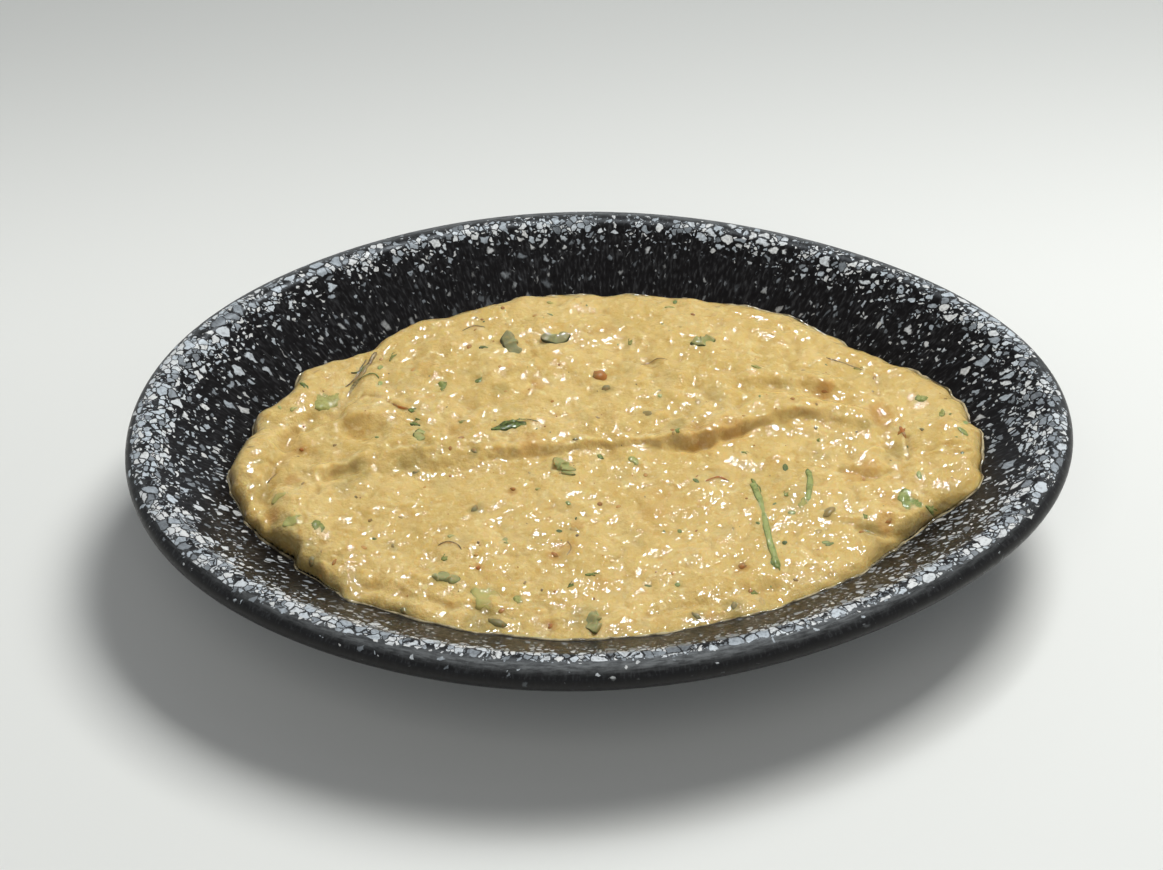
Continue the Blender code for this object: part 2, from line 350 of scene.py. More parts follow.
def bowl_section():
    """Inset and height from the floor's centre, over the lip, to the foot's centre."""
    points = [(HALF_LENGTH, FLOOR_TOP), (FLOOR_INSET + 30 * MM, FLOOR_TOP),
              (FLOOR_INSET, FLOOR_TOP)]
    for step in range(1, 13):
        inset = FLOOR_INSET - FLOOR_ROUND * math.sin(WALL_SLOPE * step / 12)
        points.append((inset, inner_height(inset)))
    for step in range(1, 12):
        inset = WALL_END_INSET + (WALL_TOP_INSET - WALL_END_INSET) * step / 12
        points.append((inset, inner_height(inset)))
    points.append((WALL_TOP_INSET, WALL_TOP_Z))

    centre = (LIP_HALF_WIDTH, HEIGHT - LIP_HALF_DEPTH)
    radii = (LIP_HALF_WIDTH, LIP_HALF_DEPTH)
    under = lip_point(LIP_UNDERCUT, -1)
    first = math.atan2((WALL_TOP_Z - centre[1]) / radii[1],
                       (WALL_TOP_INSET - centre[0]) / radii[0])
    last = math.atan2((under[1] - centre[1]) / radii[1],
                      (under[0] - centre[0]) / radii[0]) + 2 * math.pi
    points += arc(centre, radii, first, math.pi / 2, 8)
    points += arc(centre, radii, math.pi / 2, math.pi, 14)
    points += arc(centre, radii, math.pi, last, 12)

    # The underside curves from the lip into the outer wall.
    drop = WALL_THICKNESS / math.cos(WALL_SLOPE)
    meet = (inner_height(0) - drop - under[1] - under[0] * math.tan(LIP_UNDERCUT)) / (
        math.tan(WALL_SLOPE) - math.tan(LIP_UNDERCUT))
    control = (meet, inner_height(meet) - drop)
    wall = (WALL_START, inner_height(WALL_START) - drop)
    for step in range(1, 13):
        t = step / 12
        points.append(tuple((1 - t) ** 2 * under[i] + 2 * t * (1 - t) * control[i]
                            + t ** 2 * wall[i] for i in range(2)))

    # Outer wall, then the foot, with small rounds where it meets the wall and the table.
    foot_top = (FOOT_INSET, FOOT_HEIGHT)
    for step in range(1, 10):
        t = step / 10
        points.append(tuple((1 - t) * wall[i] + t * foot_top[i] for i in range(2)))
    points.append((FOOT_INSET - 0.2 * MM, FOOT_HEIGHT + 0.3 * MM))
    points.append((FOOT_INSET, FOOT_HEIGHT - 0.4 * MM))
    points += arc((FOOT_INSET + FOOT_ROUND, FOOT_ROUND), (FOOT_ROUND, FOOT_ROUND),
                  math.pi, 1.5 * math.pi, 5)
    points.append((FOOT_INSET + 6 * MM, 0))
    points.append((HALF_LENGTH, 0))
    return points


# %% Tree that makes the round blank oval


def oval_tree():
    """Geometry Nodes tree: turns the round blank into the boat-shaped oval."""
    tree = bpy.data.node_groups.new("press_to_oval", 'GeometryNodeTree')
    tree.interface.new_socket("Geometry", in_out='INPUT', socket_type='NodeSocketGeometry')
    sockets = {}
    for name in ("Half length", "Half width", "Floor inset", "End point", "End taper",
                 "End blunt"):
        sockets[name] = tree.interface.new_socket(name, in_out='INPUT',
                                                  socket_type='NodeSocketFloat')
    sockets["Finish"] = tree.interface.new_socket("Finish", in_out='INPUT',
                                                  socket_type='NodeSocketMaterial')
    tree.interface.new_socket("Geometry", in_out='OUTPUT', socket_type='NodeSocketGeometry')
    given = tree.nodes.new('NodeGroupInput').outputs
    result = tree.nodes.new('NodeGroupOutput')

    place = add_node(tree, 'GeometryNodeInputPosition').outputs[0]
    xyz = add_node(tree, 'ShaderNodeSeparateXYZ', values={0: place}).outputs
    flat = add_node(tree, 'ShaderNodeCombineXYZ', values={0: xyz[0], 1: xyz[1]}).outputs[0]
    length = add_node(tree, 'ShaderNodeVectorMath', operation='LENGTH', values={0: flat})
    radius = math_node(tree, 'MAXIMUM', length.outputs["Value"], 1e-6)

    # Half-width at this inset: evenly inset down the wall, in proportion on the floor.
    even = math_node(tree, 'SUBTRACT', given["Half width"],
                     math_node(tree, 'SUBTRACT', given["Half length"], radius))
    floor_width = math_node(tree, 'SUBTRACT', given["Half width"], given["Floor inset"])
    floor_length = math_node(tree, 'SUBTRACT', given["Half length"], given["Floor inset"])
    in_step = math_node(tree, 'MULTIPLY', radius,
                        math_node(tree, 'DIVIDE', floor_width, floor_length))
    across = math_node(tree, 'MAXIMUM', even, in_step)

    end = math_node(tree, 'DIVIDE', xyz[0], radius)
    point = math_node(tree, 'SUBTRACT', 1.0, math_node(tree, 'MULTIPLY', end,
                                                       given["End point"]))
    square = math_node(tree, 'MULTIPLY', end, end)
    blunt = math_node(tree, 'MULTIPLY', math_node(tree, 'MULTIPLY', square, square),
                      given["End blunt"])
    taper = math_node(tree, 'SUBTRACT', math_node(tree, 'ADD', 1.0, blunt),
                      math_node(tree, 'MULTIPLY', square, given["End taper"]))
    share = math_node(tree, 'MULTIPLY', math_node(tree, 'DIVIDE', across, radius),
                      math_node(tree, 'MULTIPLY', point, taper))
    moved = add_node(tree, 'ShaderNodeCombineXYZ', values={
        0: xyz[0], 1: math_node(tree, 'MULTIPLY', xyz[1], share), 2: xyz[2]}).outputs[0]
    pressed = add_node(tree, 'GeometryNodeSetPosition', values={
        "Geometry": given["Geometry"], "Position": moved})
    finished = add_node(tree, 'GeometryNodeSetMaterial', values={
        "Geometry": pressed.outputs[0], "Material": given["Finish"]})
    tree.links.new(finished.outputs[0], result.inputs[0])
    return tree, sockets


# %% Turn and press the bowl


def plain_mesh(name, evaluated_from):
    """The evaluated object as a mesh of its own; the first object is removed."""
    evaluated = evaluated_from.evaluated_get(bpy.context.evaluated_depsgraph_get())
    mesh = bpy.data.meshes.new_from_object(evaluated)
    mesh.name = name
    bpy.data.objects.remove(evaluated_from)
    return mesh


def turned_blank():
    """The bowl's section turned into a round blank."""
    section = bpy.data.meshes.new("bowl_section")
    points = [(HALF_LENGTH - inset, 0, height) for inset, height in bowl_section()]
    section.from_pydata(points, [(i, i + 1) for i in range(len(points) - 1)], [])
    blank = add_object("bowl_section", section)
    screw = blank.modifiers.new("turn", 'SCREW')
    screw.steps = BOWL_STEPS
    screw.render_steps = BOWL_STEPS
    screw.use_merge_vertices = True
    screw.merge_threshold = 0.01 * MM
    return plain_mesh("speckled_bowl", blank)


def press(mesh):
    """The round blank pressed to the oval."""
    blank = add_object("bowl_blank", mesh)
    tree, sockets = oval_tree()
    modifier = blank.modifiers.new("press", 'NODES')
    modifier.node_group = tree
    for name, value in {"Half length": HALF_LENGTH, "Half width": HALF_WIDTH,
                        "Floor inset": FLOOR_INSET, "End point": END_POINT,
                        "End taper": END_TAPER, "End blunt": END_BLUNT,
                        "Finish": melamine}.items():
        modifier[sockets[name].identifier] = value
    pressed = plain_mesh("speckled_bowl", blank)
    pressed.shade_smooth()
    return pressed


blank_mesh = turned_blank()
print("blank has", len(blank_mesh.polygons), "faces")

# %% [markdown]
# While the bowl is still a round blank, each vertex's inset and heading are plain to read, so
# this is when it learns how its chips lie: a share of cover, a brightness, where the painted
# sheen along the rim goes, and the place that the pattern reads. That place is on a drum as long
# round as the lip, so the pattern has no seam, and its height is the distance down the wall from
# the lip's crest.

# %% Chip attributes


def smooth(t):
    t = np.clip(t, 0, 1)
    return t * t * (3 - 2 * t)


def vertex_array(mesh):
    flat = np.empty(len(mesh.vertices) * 3)
    mesh.vertices.foreach_get("co", flat)
    return flat.reshape(-1, 3)


def add_share(mesh, name, values):
    """Store one number for each vertex, for a material to read."""
    mesh.attributes.new(name, 'FLOAT', 'POINT').data.foreach_set("value", values)


def section_distance(radius, height):
    """Distance in mm along the section from the lip's crest, positive down the inside."""
    section = np.array(bowl_section())
    steps = np.hypot(*np.diff(section, axis=0).T)
    run = np.concatenate([[0], np.cumsum(steps)])
    run = (run[np.argmax(section[:, 1])] - run) / MM
    away = (HALF_LENGTH - radius[:, None] - section[:, 0]) ** 2 + (
        height[:, None] - section[:, 1]) ** 2
    return run[np.argmin(away, axis=1)]


def drum_place(heading, distance):
    """Where the chip pattern is read: round a drum, and down it, in metres."""
    table = np.linspace(-math.pi, math.pi, 721)
    lip = np.array([oval_point(LIP_HALF_WIDTH, t) for t in table])
    run = np.concatenate([[0], np.cumsum(np.hypot(*np.diff(lip, axis=0).T))])
    turn = 2 * math.pi * np.interp(heading, table, run) / run[-1]
    drum = run[-1] / (2 * math.pi)
    down = np.where(distance < 12, distance, 12 + (distance - 12) * 0.75)
    return np.stack([drum * np.cos(turn), drum * np.sin(turn), down * MM], axis=1)


def paint_chips(mesh):
    place = vertex_array(mesh)
    radius = np.hypot(place[:, 0], place[:, 1])
    heading = np.arctan2(place[:, 1], place[:, 0])
    distance = section_distance(radius, place[:, 2])
    flank = np.sin(heading) ** 2
    left = 0.5 - 0.5 * np.cos(heading - 0.35)
    first = -3.9 + 2.7 * flank
    last = 4.0 + 2.2 * (1 - flank)
    crowded = smooth((distance - first) / 1.3) * smooth((last + 2.5 - distance) / 3.5)
    scattered = (0.68 - 0.36 * flank) * np.exp(-np.maximum(distance - last, 0) / 9)
    near_right = np.exp(-((heading + 0.62) / 0.45) ** 2)
    back = smooth(1.4 * np.sin(heading) - 0.3)
    right = smooth(1.5 * np.cos(heading) - 0.5)
    crowded = crowded * (1 - 0.22 * back - 0.14 * right)
    deep = 0.24 + 0.10 * left + 0.15 * near_right + 0.08 * right
    inside = distance > first + 0.6
    cover = np.where(inside, np.maximum(crowded, np.maximum(scattered, deep)),
                     np.maximum(crowded, 0.05))
    dimming = 4 + 15 * left * (1 - flank) + 6 * near_right + 9 * right
    light = 0.31 + 0.25 * left * (1 - flank) + 0.14 * right + 0.70 * np.exp(-np.maximum(distance - last - 1, 0) / dimming)
    light = np.where(distance < -5, 0.18, light)
    # Painted sheen: a grey band along the lip's crest, stronger along the long sides.
    crest_sheen = np.exp(-((distance + 2.0) / 1.5) ** 2) * (0.35 + 0.65 * flank)
    add_share(mesh, "chip_cover", cover)
    add_share(mesh, "chip_light", light)
    add_share(mesh, "crest_sheen", crest_sheen)
    pattern = mesh.attributes.new("chip_place", 'FLOAT_VECTOR', 'POINT')
    pattern.data.foreach_set("vector", drum_place(heading, distance).ravel())
    print("chips cover", round(100 * float(cover.mean())), "% on average")


paint_chips(blank_mesh)
bowl = add_object("speckled_bowl", press(blank_mesh))
print("bowl reaches", [round(size / MM, 1) for size in bowl.dimensions], "mm")
finish_piece(bowl, "melamine", "bowl")

# %% [markdown]
# ## The dip
#
# The dip is a thick, wet paste. A spoon was drawn through it: the far half was pushed back
# into a long soft roll, the ends were left in folds, and the edge stands off the wall in
# places. It is one height field on an even grid. The grid is a square drawn out to the dip's
# outline, which keeps its faces nearly equal, and each form is a short function of X and Y.

# %% Outline of the dip
# Bays where the edge leaves its even inset: heading, half-width in degrees, millimetres.
DIP_INSET = 23.2 * MM
EDGE_BAYS = [
    (168, 34, 3.0), (152, 6, 3.6), (132, 9, 4.4), (111, 11, 2.0), (168, 5, 2.6),
    (205, 15, 6.2), (200, 9, -3.6), (268, 30, -4.0), (328, 17, 4.8), (344, 7, -3.8),
    (2, 4, -2.0), (39, 11, 2.2),
]
INTO_WALL = 0.25 * MM
NEAR_LEFT = math.radians(228)


def edge_inset(heading):
    """Inset of the dip's edge at a heading in radians."""
    inset = DIP_INSET
    for centre, half_width, depth in EDGE_BAYS:
        away = (math.degrees(heading) - centre + 180) % 360 - 180
        inset += depth * MM * math.exp(-(away / half_width) ** 2)
    ripple = 0.35 * math.sin(9 * heading + 1) + 0.25 * math.sin(17 * heading)
    fine = 0.22 * math.sin(41 * heading + 2) + 0.14 * math.sin(67 * heading)
    lumps = 0.5 * math.sin(23 * heading) * (1 - math.sin(heading)) / 2
    near_left = math.exp(-9 * (1 - math.cos(heading - NEAR_LEFT)))
    lumps += near_left * (0.7 * math.sin(31 * heading + 0.5) + 0.45 * math.sin(53 * heading))
    return inset + (ripple + fine + lumps) * MM


def square_to_disc(side):
    """Points of a square grid moved into a round disc, with even spacing."""
    line = np.linspace(-1, 1, side + 1)
    u, v = np.meshgrid(line, line)
    return (u * np.sqrt(1 - v ** 2 / 2)).ravel(), (v * np.sqrt(1 - u ** 2 / 2)).ravel()


# %% [markdown]
# The large forms come first. The spoon's ridge follows one bent line: it is a broad soft slope
# at the left, a steep face with deep pockets in the middle, and a rope-like roll at the right.
# Folds, grooves and pockets are strokes along short lines, and lobes are soft mounds.

# %% Forms of the dip
# All in millimetres. The ridge: X, Y of its face, the face's half-width and its rise.
DIP_LEVEL = 30.5
RIDGE = [
    (-66, -1.0, 2.0, 0.0), (-58, -2.0, 2.8, 1.2), (-48, -2.8, 3.6, 2.1), (-40, -2.4, 3.2, 2.1),
    (-30, -1.2, 2.4, 1.8), (-20, -0.2, 1.7, 1.5), (-10, 0.8, 1.3, 1.4), (0, 1.5, 1.1, 1.4),
    (10, 1.7, 1.0, 1.5), (20, 1.5, 0.9, 1.8), (28, 1.4, 0.8, 2.0), (33, 3.9, 0.8, 2.1),
    (38, 6.2, 0.8, 1.9), (44, 8.6, 1.0, 1.7), (52, 10.0, 1.3, 1.5), (60, 8.8, 1.6, 1.1),
    (66, 5.0, 2.0, 0.6), (73, 2.0, 2.4, 0.0),
]
# Strokes: a line of X, Y points, a half-width and a height.
STROKES = [
    ([(19.5, 0.6), (24, 0.4), (28, 1.0)], 1.0, -1.2),
    ([(31, 2.8), (38, 5.4)], 1.0, -1.2),
    ([(-20, -1.4), (-12, -0.8)], 1.8, -0.5),
    ([(40, 20.5), (50, 19.3), (58, 18.7), (65, 15)], 2.5, -1.4),
    ([(38, 12), (50, 14.3), (60, 13), (67, 9)], 2.6, 1.0),
    ([(38, 24), (50, 23.5), (62, 22)], 3.0, 0.9),
    ([(-69, 16), (-77, 12), (-80.4, 6), (-82, 0), (-84.6, -8), (-84.8, -16), (-83.4, -21)],
     2.3, -1.5),
    ([(-81.9, -3.5), (-84.4, -6)], 0.7, -0.6),
    ([(-59, 35), (-62.4, 27.4), (-64.1, 22.6), (-66.6, 17.8)], 2.0, -1.0),
    ([(-69.5, -6.4), (-66.4, -4.5), (-62.6, -3.8)], 1.6, -1.5),
    ([(-71, -3.6), (-66, -1.6), (-60, -0.8)], 2.2, 1.1),
    ([(-78.0, 4.0), (-74.0, 2.8)], 2.6, -1.3),
    ([(-63.5, 10.4), (-60, 8.8), (-55.5, 8.6)], 2.6, -1.3),
    ([(-64, 14.5), (-57, 14)], 2.8, 0.9),
    ([(-62.8, 19.5), (-60.2, 22.1), (-57.2, 21.9), (-52.5, 18.4), (-49.6, 15.2)], 0.7, -0.55),
    ([(64, -30.4), (69, -31.6), (73, -31)], 1.8, -1.5),
    ([(72, 9.2), (73.5, 3)], 2.2, -0.8),
    ([(78.8, 1.5), (78.9, -3), (78.2, -6.6)], 0.7, -0.8),
    ([(63.8, -8.0), (66.4, -3.6), (69.7, -2.4), (72.6, -4.3), (74.4, -7.4)], 1.0, 0.5),
    ([(61, -10), (67, -12), (72, -10.5)], 1.6, -0.9),
    ([(-46, -8), (-38, -8.5), (-28, -7.5)], 3.0, -0.4),
    ([(-14, 40), (3, 37), (14, 31)], 2.2, -0.5),
    ([(16, 34), (21, 24), (20, 16)], 2.4, 0.6),
    ([(-40, 30), (-28, 33), (-16, 30)], 2.6, 0.4),
    ([(66, -22), (74, -27), (80, -26)], 2.2, 0.7),
    ([(-60, -44), (-44, -50), (-30, -54)], 1.6, -0.7),
    ([(10, -56), (26, -52), (40, -49)], 1.8, -0.6),
]
# Mounds: X, Y, radius and height.
MOUNDS = [
    (-89, 3, 8, 2.6), (-77, 23, 8, 1.8), (-58, 15, 8, 1.1), (-79, -15, 5, 1.7),
    (-74, -24, 6, 1.5), (-66, -34, 8, 1.2), (-66, -20, 13, 1.0), (-50, -44, 9, 0.8),
    (90, 2, 11, 2.4), (69, -6, 4.5, 1.1), (75, -3.6, 4, -1.4), (84, -14, 7, 0.9),
    (30, 34, 18, 1.0), (-14, 44, 16, 1.0), (10, 16, 10, 0.5), (-28, 20, 12, 0.6),
    (48, -22, 12, 0.7), (5, -34, 14, 0.5), (-34, -30, 13, 0.5), (62, -16, 8, 0.5),
    (24, -50, 9, 0.7), (-20, -52, 9, 0.8), (2, -58, 6, 0.6), (46, -42, 8, 0.6),
]


# Rust and olive patches: browned flesh and sunk leaves showing through, and painted shade,
# rust in the ridge's pockets and hollows, olive along the shaded front-left edge. X, Y, radius
# and strength.
RUST_STAINS_AND_SHADE = [
    (-15, 24, 1.3, 0.7), (-76, 5, 1.4, 0.9), (-78, -7, 1.8, 0.8), (-23, -13, 1.2, 0.8),
    (59, 19, 2.2, 0.9), (73, 10, 3.4, 0.75), (68, -9, 2.4, 0.7), (64, -11.5, 2.4, 0.6),
    (72, -20, 2.6, 0.6), (70, -28, 2.2, 0.8), (12, -22, 3.4, 0.4), (-7, -26, 1.6, 0.7),
    (-13, -36, 1.8, 0.9), (-10, -33, 2.6, 0.5), (-32, -39, 1.1, 0.8), (-83, -19, 1.8, 0.8),
    (-15, -59, 1.6, 0.8), (33, -42, 1.6, 0.7), (26, 3.4, 4.0, 0.6), (34, 5.4, 3.2, 0.6),
    (-18, 2, 3.4, 0.5), (-61, 11, 3.0, 0.4), (-36, 9, 3.6, 0.3), (44, -6, 2.0, 0.4),
    (15, -15, 2.6, 0.3), (-2, -45, 2.4, 0.35), (-50, -20, 2.0, 0.3), (4, 44, 2.2, 0.35),
    (88, 4, 2.4, 0.4), (-44, 32, 2.0, 0.35), (24, -58, 2.2, 0.4), (54, -36, 2.6, 0.35),
]
OLIVE_STAINS_AND_SHADE = [
    (3, 21, 1.5, 0.8), (-25, 22, 1.8, 0.6), (-30, 27, 1.6, 0.5), (-65, -9.5, 2.2, 0.6),
    (-32, 0, 1.5, 0.8), (-49, -3, 2.8, 0.5), (-32, -19, 1.6, 0.9), (-6, 3, 1.4, 0.7),
    (75, -3, 3.0, 0.6), (68, 6, 1.3, 0.7), (20, 6.4, 2.2, 0.8), (56, -4, 1.5, 0.5),
    (48, -18, 3.0, 0.5), (88, -20, 3.2, 0.5), (-53, -31, 1.4, 0.7), (-75, -34, 4.5, 0.7),
    (-81, -24, 4.0, 0.6), (-65, -44, 4.0, 0.5), (-51, -52, 2.8, 0.7), (-31, -57, 4.0, 0.9),
    (30, -55, 2.4, 0.8), (21, -58, 2.2, 0.8), (78, -29, 3.0, 0.5), (-63, -5, 4.0, 0.6),
    (-6, -57, 4.0, 0.6), (66, -31, 3.0, 0.6), (-86, -10, 2.8, 0.5), (-83, 4, 2.4, 0.3),
    (8, 30, 2.2, 0.35), (-44, 0.0, 3.4, 0.35), (30, -30, 2.6, 0.3), (-18, -30, 2.4, 0.35),
]


def stains_and_shade(x, y, spots):
    """How strongly a list of stains and painted shade colours each point, 0 to 1."""
    x = x + 0.9 * swells(x, y, 3.5, 141)
    y = y + 0.9 * swells(x, y, 3.5, 147)
    total = np.zeros(x.shape)
    for centre_x, centre_y, radius, strength in spots:
        away = np.hypot(x - centre_x, y - centre_y) / radius
        total = np.maximum(total, strength * smooth(1.6 - away))
    return total


def to_stroke(x, y, line):
    """Distance from each point to a stroke's line."""
    nearest = np.full(x.shape, 1e9)
    for (ax, ay), (bx, by) in zip(line, line[1:]):
        dx, dy = bx - ax, by - ay
        t = np.clip(((x - ax) * dx + (y - ay) * dy) / (dx * dx + dy * dy), 0, 1)
        nearest = np.minimum(nearest, np.hypot(x - ax - t * dx, y - ay - t * dy))
    return nearest


def ridge_height(x, y):
    """The spoon's step: a near face, and a far side that sinks back slowly."""
    along, middle, half_width, rise = np.array(RIDGE).T
    wander = 0.8 * swells(x, y, 6, 111) + 0.40 * swells(x, y, 2.5, 115)
    across = y - np.interp(x, along, middle) - wander
    half_width = np.interp(x, along, half_width) * (1 + 0.6 * swells(x, y, 4.5, 121))
    rise = np.interp(x, along, rise) * (1 + 0.45 * swells(x, y, 7, 127))
    face = smooth((across + half_width) / (2 * half_width))
    behind = np.maximum(across - half_width, 0)
    fall = 0.35 + 0.65 * np.exp(-(behind / 26) ** 1.2)
    brow = 0.22 * np.exp(-((across - half_width - 0.6) / 2.2) ** 2)
    return rise * face * (fall + brow)


def dip_forms(x, y):
    """Height of the dip's top away from its edge, in millimetres."""
    height = DIP_LEVEL + ridge_height(x, y)
    x = x + 1.1 * swells(x, y, 7, 11)
    y = y + 1.1 * swells(x, y, 7, 21)
    for line, half_width, rise in STROKES:
        height = height + rise * np.exp(-(to_stroke(x, y, line) / half_width) ** 2)
    for centre_x, centre_y, radius, rise in MOUNDS:
        away = np.hypot(x - centre_x, y - centre_y) / radius
        height = height + rise * np.exp(-away ** 2)
    return height


# %% [markdown]
# The small forms are noise, written with NumPy so that ninety thousand points take no time.
# Plain noise gives soft swells. Its absolute value gives rounded lumps with creases between
# them, which is how shreds of aubergine lie in a paste. Both are drawn out a little along X,
# the way the spoon went.

# %% Noise for the paste


def gradient_noise(x, y, seed):
    """Smooth noise from about -1 to 1, about one wave for each unit of X and Y."""
    turn = np.random.default_rng(seed).uniform(0, 2 * np.pi, (256, 256))
    left, low = np.floor(x).astype(int), np.floor(y).astype(int)
    fx, fy = x - left, y - low

    def corner(i, j):
        angle = turn[(left + i) % 256, (low + j) % 256]
        return np.cos(angle) * (fx - i) + np.sin(angle) * (fy - j)

    u, v = (t ** 3 * (t * (t * 6 - 15) + 10) for t in (fx, fy))
    near = corner(0, 0) * (1 - u) + corner(1, 0) * u
    far = corner(0, 1) * (1 - u) + corner(1, 1) * u
    return 1.5 * (near * (1 - v) + far * v)


def swells(x, y, size, seed, octaves=2):
    """Soft noise with waves of about this many millimetres."""
    total = np.zeros(x.shape)
    for octave in range(octaves):
        part = 2.0 ** octave
        total += gradient_noise(x * part / size, y * part / size, seed + octave) / part
    return total


def shreds(x, y, size, seed):
    """Rounded lumps with creases between them, from 0 in the creases to about 1."""
    folded = gradient_noise(x / size, y / size, seed)
    return np.sqrt(folded ** 2 + 0.006) - 0.077


def small_forms(x, y):
    """Height of the lumps and ripples, in millimetres."""
    warp_x = x + 2.2 * swells(x, y, 11, 31)
    warp_y = y + 2.2 * swells(x, y, 11, 41)
    long_x = warp_x * 0.86
    patchy = smooth(swells(x, y, 26, 51) * 0.9 + 0.5)
    ends = smooth((np.abs(x + 4) - 44) / 30)
    near = smooth((-26 - y) / 14) * smooth((20 - x) / 30)
    lumpy = np.clip(0.45 + 0.45 * patchy + 0.45 * ends + 0.6 * near, 0, 1.25)
    height = 0.55 * swells(warp_x, warp_y, 14, 61)
    height += 0.62 * lumpy * (shreds(long_x, warp_y, 7.0, 71) - 0.25)
    height += 0.20 * lumpy * (shreds(long_x, warp_y, 3.3, 81) - 0.25)
    height += 0.27 * swells(warp_x, warp_y, 5.6, 151)
    height += 0.16 * swells(warp_x, warp_y, 2.9, 91)
    height += 0.025 * gradient_noise(warp_x / 1.25, warp_y / 1.25, 101)
    return height


# %% Build the dip's mesh
GRID = 300
# Width in mm of the rounded shoulder along the edge, by heading in degrees.
SHOULDER = [(-180, 4.5), (-165, 2.8), (-140, 2.4), (-120, 3.4), (-90, 4.2), (-50, 3.6),
            (-32, 3.0), (-10, 4.5), (0, 5.5), (60, 5.5), (120, 4.5), (140, 3.6), (180, 4.5)]


def hollows(z, count):
    """How far each grid point lies below the mean of its surroundings, 0 to 1."""
    grid = z.reshape(count, count)
    mean = grid.copy()
    for _ in range(22):
        padded = np.pad(mean, 1, mode='edge')
        mean = (padded[:-2, 1:-1] + padded[2:, 1:-1] + padded[1:-1, :-2]
                + padded[1:-1, 2:] + 2 * mean) / 6
    return np.clip((mean - grid) / 0.30, 0, 1).ravel()


def steepness(x, y, z, count):
    """Sine of the slope at each grid point."""
    net = np.stack([x, y, z], axis=1).reshape(count, count, 3)
    along = np.gradient(net, axis=1)
    across = np.gradient(net, axis=0)
    normal = np.cross(along, across)
    return np.sqrt(1 - (normal[..., 2] / np.linalg.norm(normal, axis=2)) ** 2).ravel()


def make_dip():
    disc_x, disc_y = square_to_disc(GRID)
    radius = np.hypot(disc_x, disc_y)
    heading = np.arctan2(disc_y, disc_x)
    table = np.radians(np.arange(0, 1441) / 4 - 180)
    outline = np.array([oval_point(edge_inset(t), t) for t in table]) / MM
    contact = np.array([inner_height(edge_inset(t)) for t in table]) / MM
    edge_x = np.interp(heading, table, outline[:, 0])
    edge_y = np.interp(heading, table, outline[:, 1])
    wall_z = np.interp(heading, table, contact)
    x, y = radius * edge_x, radius * edge_y

    tree = KDTree(len(outline))
    for index, (px, py) in enumerate(outline):
        tree.insert((px, py, 0), index)
    tree.balance()
    from_edge = np.array([tree.find((px, py, 0))[2] for px, py in zip(x, y)])

    # The shoulder: steep where the edge stands off the wall, low where it wets the wall.
    height = dip_forms(x, y) + small_forms(x, y)
    shoulder = np.interp(np.degrees(heading), *np.array(SHOULDER).T)
    inward = np.clip(from_edge / shoulder, 0, 1)
    rise = np.sqrt(1 - (1 - inward) ** 2)
    z = wall_z - INTO_WALL / MM + (height - wall_z) * rise

    # Under side: down the wall to the floor, one ring for each step, to one middle point.
    count = GRID + 1
    grid_index = np.arange(count * count).reshape(count, count)
    rim = np.concatenate([grid_index[0, :-1], grid_index[:-1, -1],
                          grid_index[-1, :0:-1], grid_index[:0:-1, 0]])
    vertices = [tuple(p) for p in np.stack([x, y, z], axis=1) * MM]
    corners = (grid_index[:-1, :-1], grid_index[:-1, 1:], grid_index[1:, 1:], grid_index[1:, :-1])
    faces = [tuple(map(int, quad)) for quad in zip(*(corner.ravel() for corner in corners))]
    ring = [int(i) for i in rim]
    for inset in (WALL_END_INSET, FLOOR_INSET - 5 * MM, FLOOR_INSET):
        start = len(vertices)
        for i in rim:
            px, py = oval_point(inset, heading[i])
            vertices.append((px, py, inner_height(inset) + 0.1 * MM))
        lower = list(range(start, start + len(rim)))
        for i in range(len(rim)):
            j = (i + 1) % len(rim)
            faces.append((ring[j], ring[i], lower[i], lower[j]))
        ring = lower
    middle = len(vertices)
    vertices.append((0, 0, FLOOR_TOP + 0.1 * MM))
    for i in range(len(ring)):
        faces.append((ring[(i + 1) % len(ring)], ring[i], middle))

    mesh = bpy.data.meshes.new("dip_paste")
    mesh.from_pydata(vertices, [], faces)
    mesh.shade_smooth()
    spare = np.zeros(len(vertices) - len(z))
    # Hollow, steep and edge set where the paste is painted darker as painted shade; steep and edge
    # also keep crumbs off slopes and the edge.
    add_share(mesh, "hollow", np.concatenate([hollows(z, count), spare]))
    add_share(mesh, "steep", np.concatenate([steepness(x, y, z, count), spare + 1]))
    add_share(mesh, "edge", np.concatenate([np.exp(-from_edge / 4), spare + 1]))
    add_share(mesh, "rust", np.concatenate([stains_and_shade(x, y, RUST_STAINS_AND_SHADE), spare]))
    add_share(mesh, "olive", np.concatenate([stains_and_shade(x, y, OLIVE_STAINS_AND_SHADE), spare]))
    return mesh


dip = add_object("dip_paste", make_dip())
print("dip reaches", [round(size / MM, 1) for size in dip.dimensions], "mm")

# %% [markdown]
# ## The paste
#
# Roasted aubergine and sesame make a warm straw-coloured paste that light sinks into a little,
# so it has some subsurface scattering. Hollows, steep sides and the edge are painted darker,
# orange-brown in hollows and olive on slopes and at the edge: painted shade, warm like light that
# has passed through more paste; at the edge it is also thin paste over the black resin. On top
# lies a film of oil: a clear coat, very smooth, whose own finer bumps break the lamp's
# reflection into many small sharp glints.

# %% Paste material


def attribute(tree, name):
    return add_node(tree, 'ShaderNodeAttribute', attribute_name=name).outputs["Fac"]


def wet_film(tree, shader, under=None):
    """Bumps of the oil on top: facets that each catch the lamp as one small glint."""
    film = noise_node(tree, 560, 1, 0.48, Distortion=0.9)
    pools = noise_node(tree, 150, 2)
    height = math_node(tree, 'MULTIPLY', film.outputs["Fac"],
                       map_range(tree, pools.outputs["Fac"], 0.42, 0.60, 0.30, 1.0))
    bump = add_node(tree, 'ShaderNodeBump', values={
        "Strength": 1.0, "Distance": 0.00042, "Height": height})
    if under:
        tree.links.new(under, bump.inputs["Normal"])
    tree.links.new(bump.outputs["Normal"], shader.inputs["Coat Normal"])


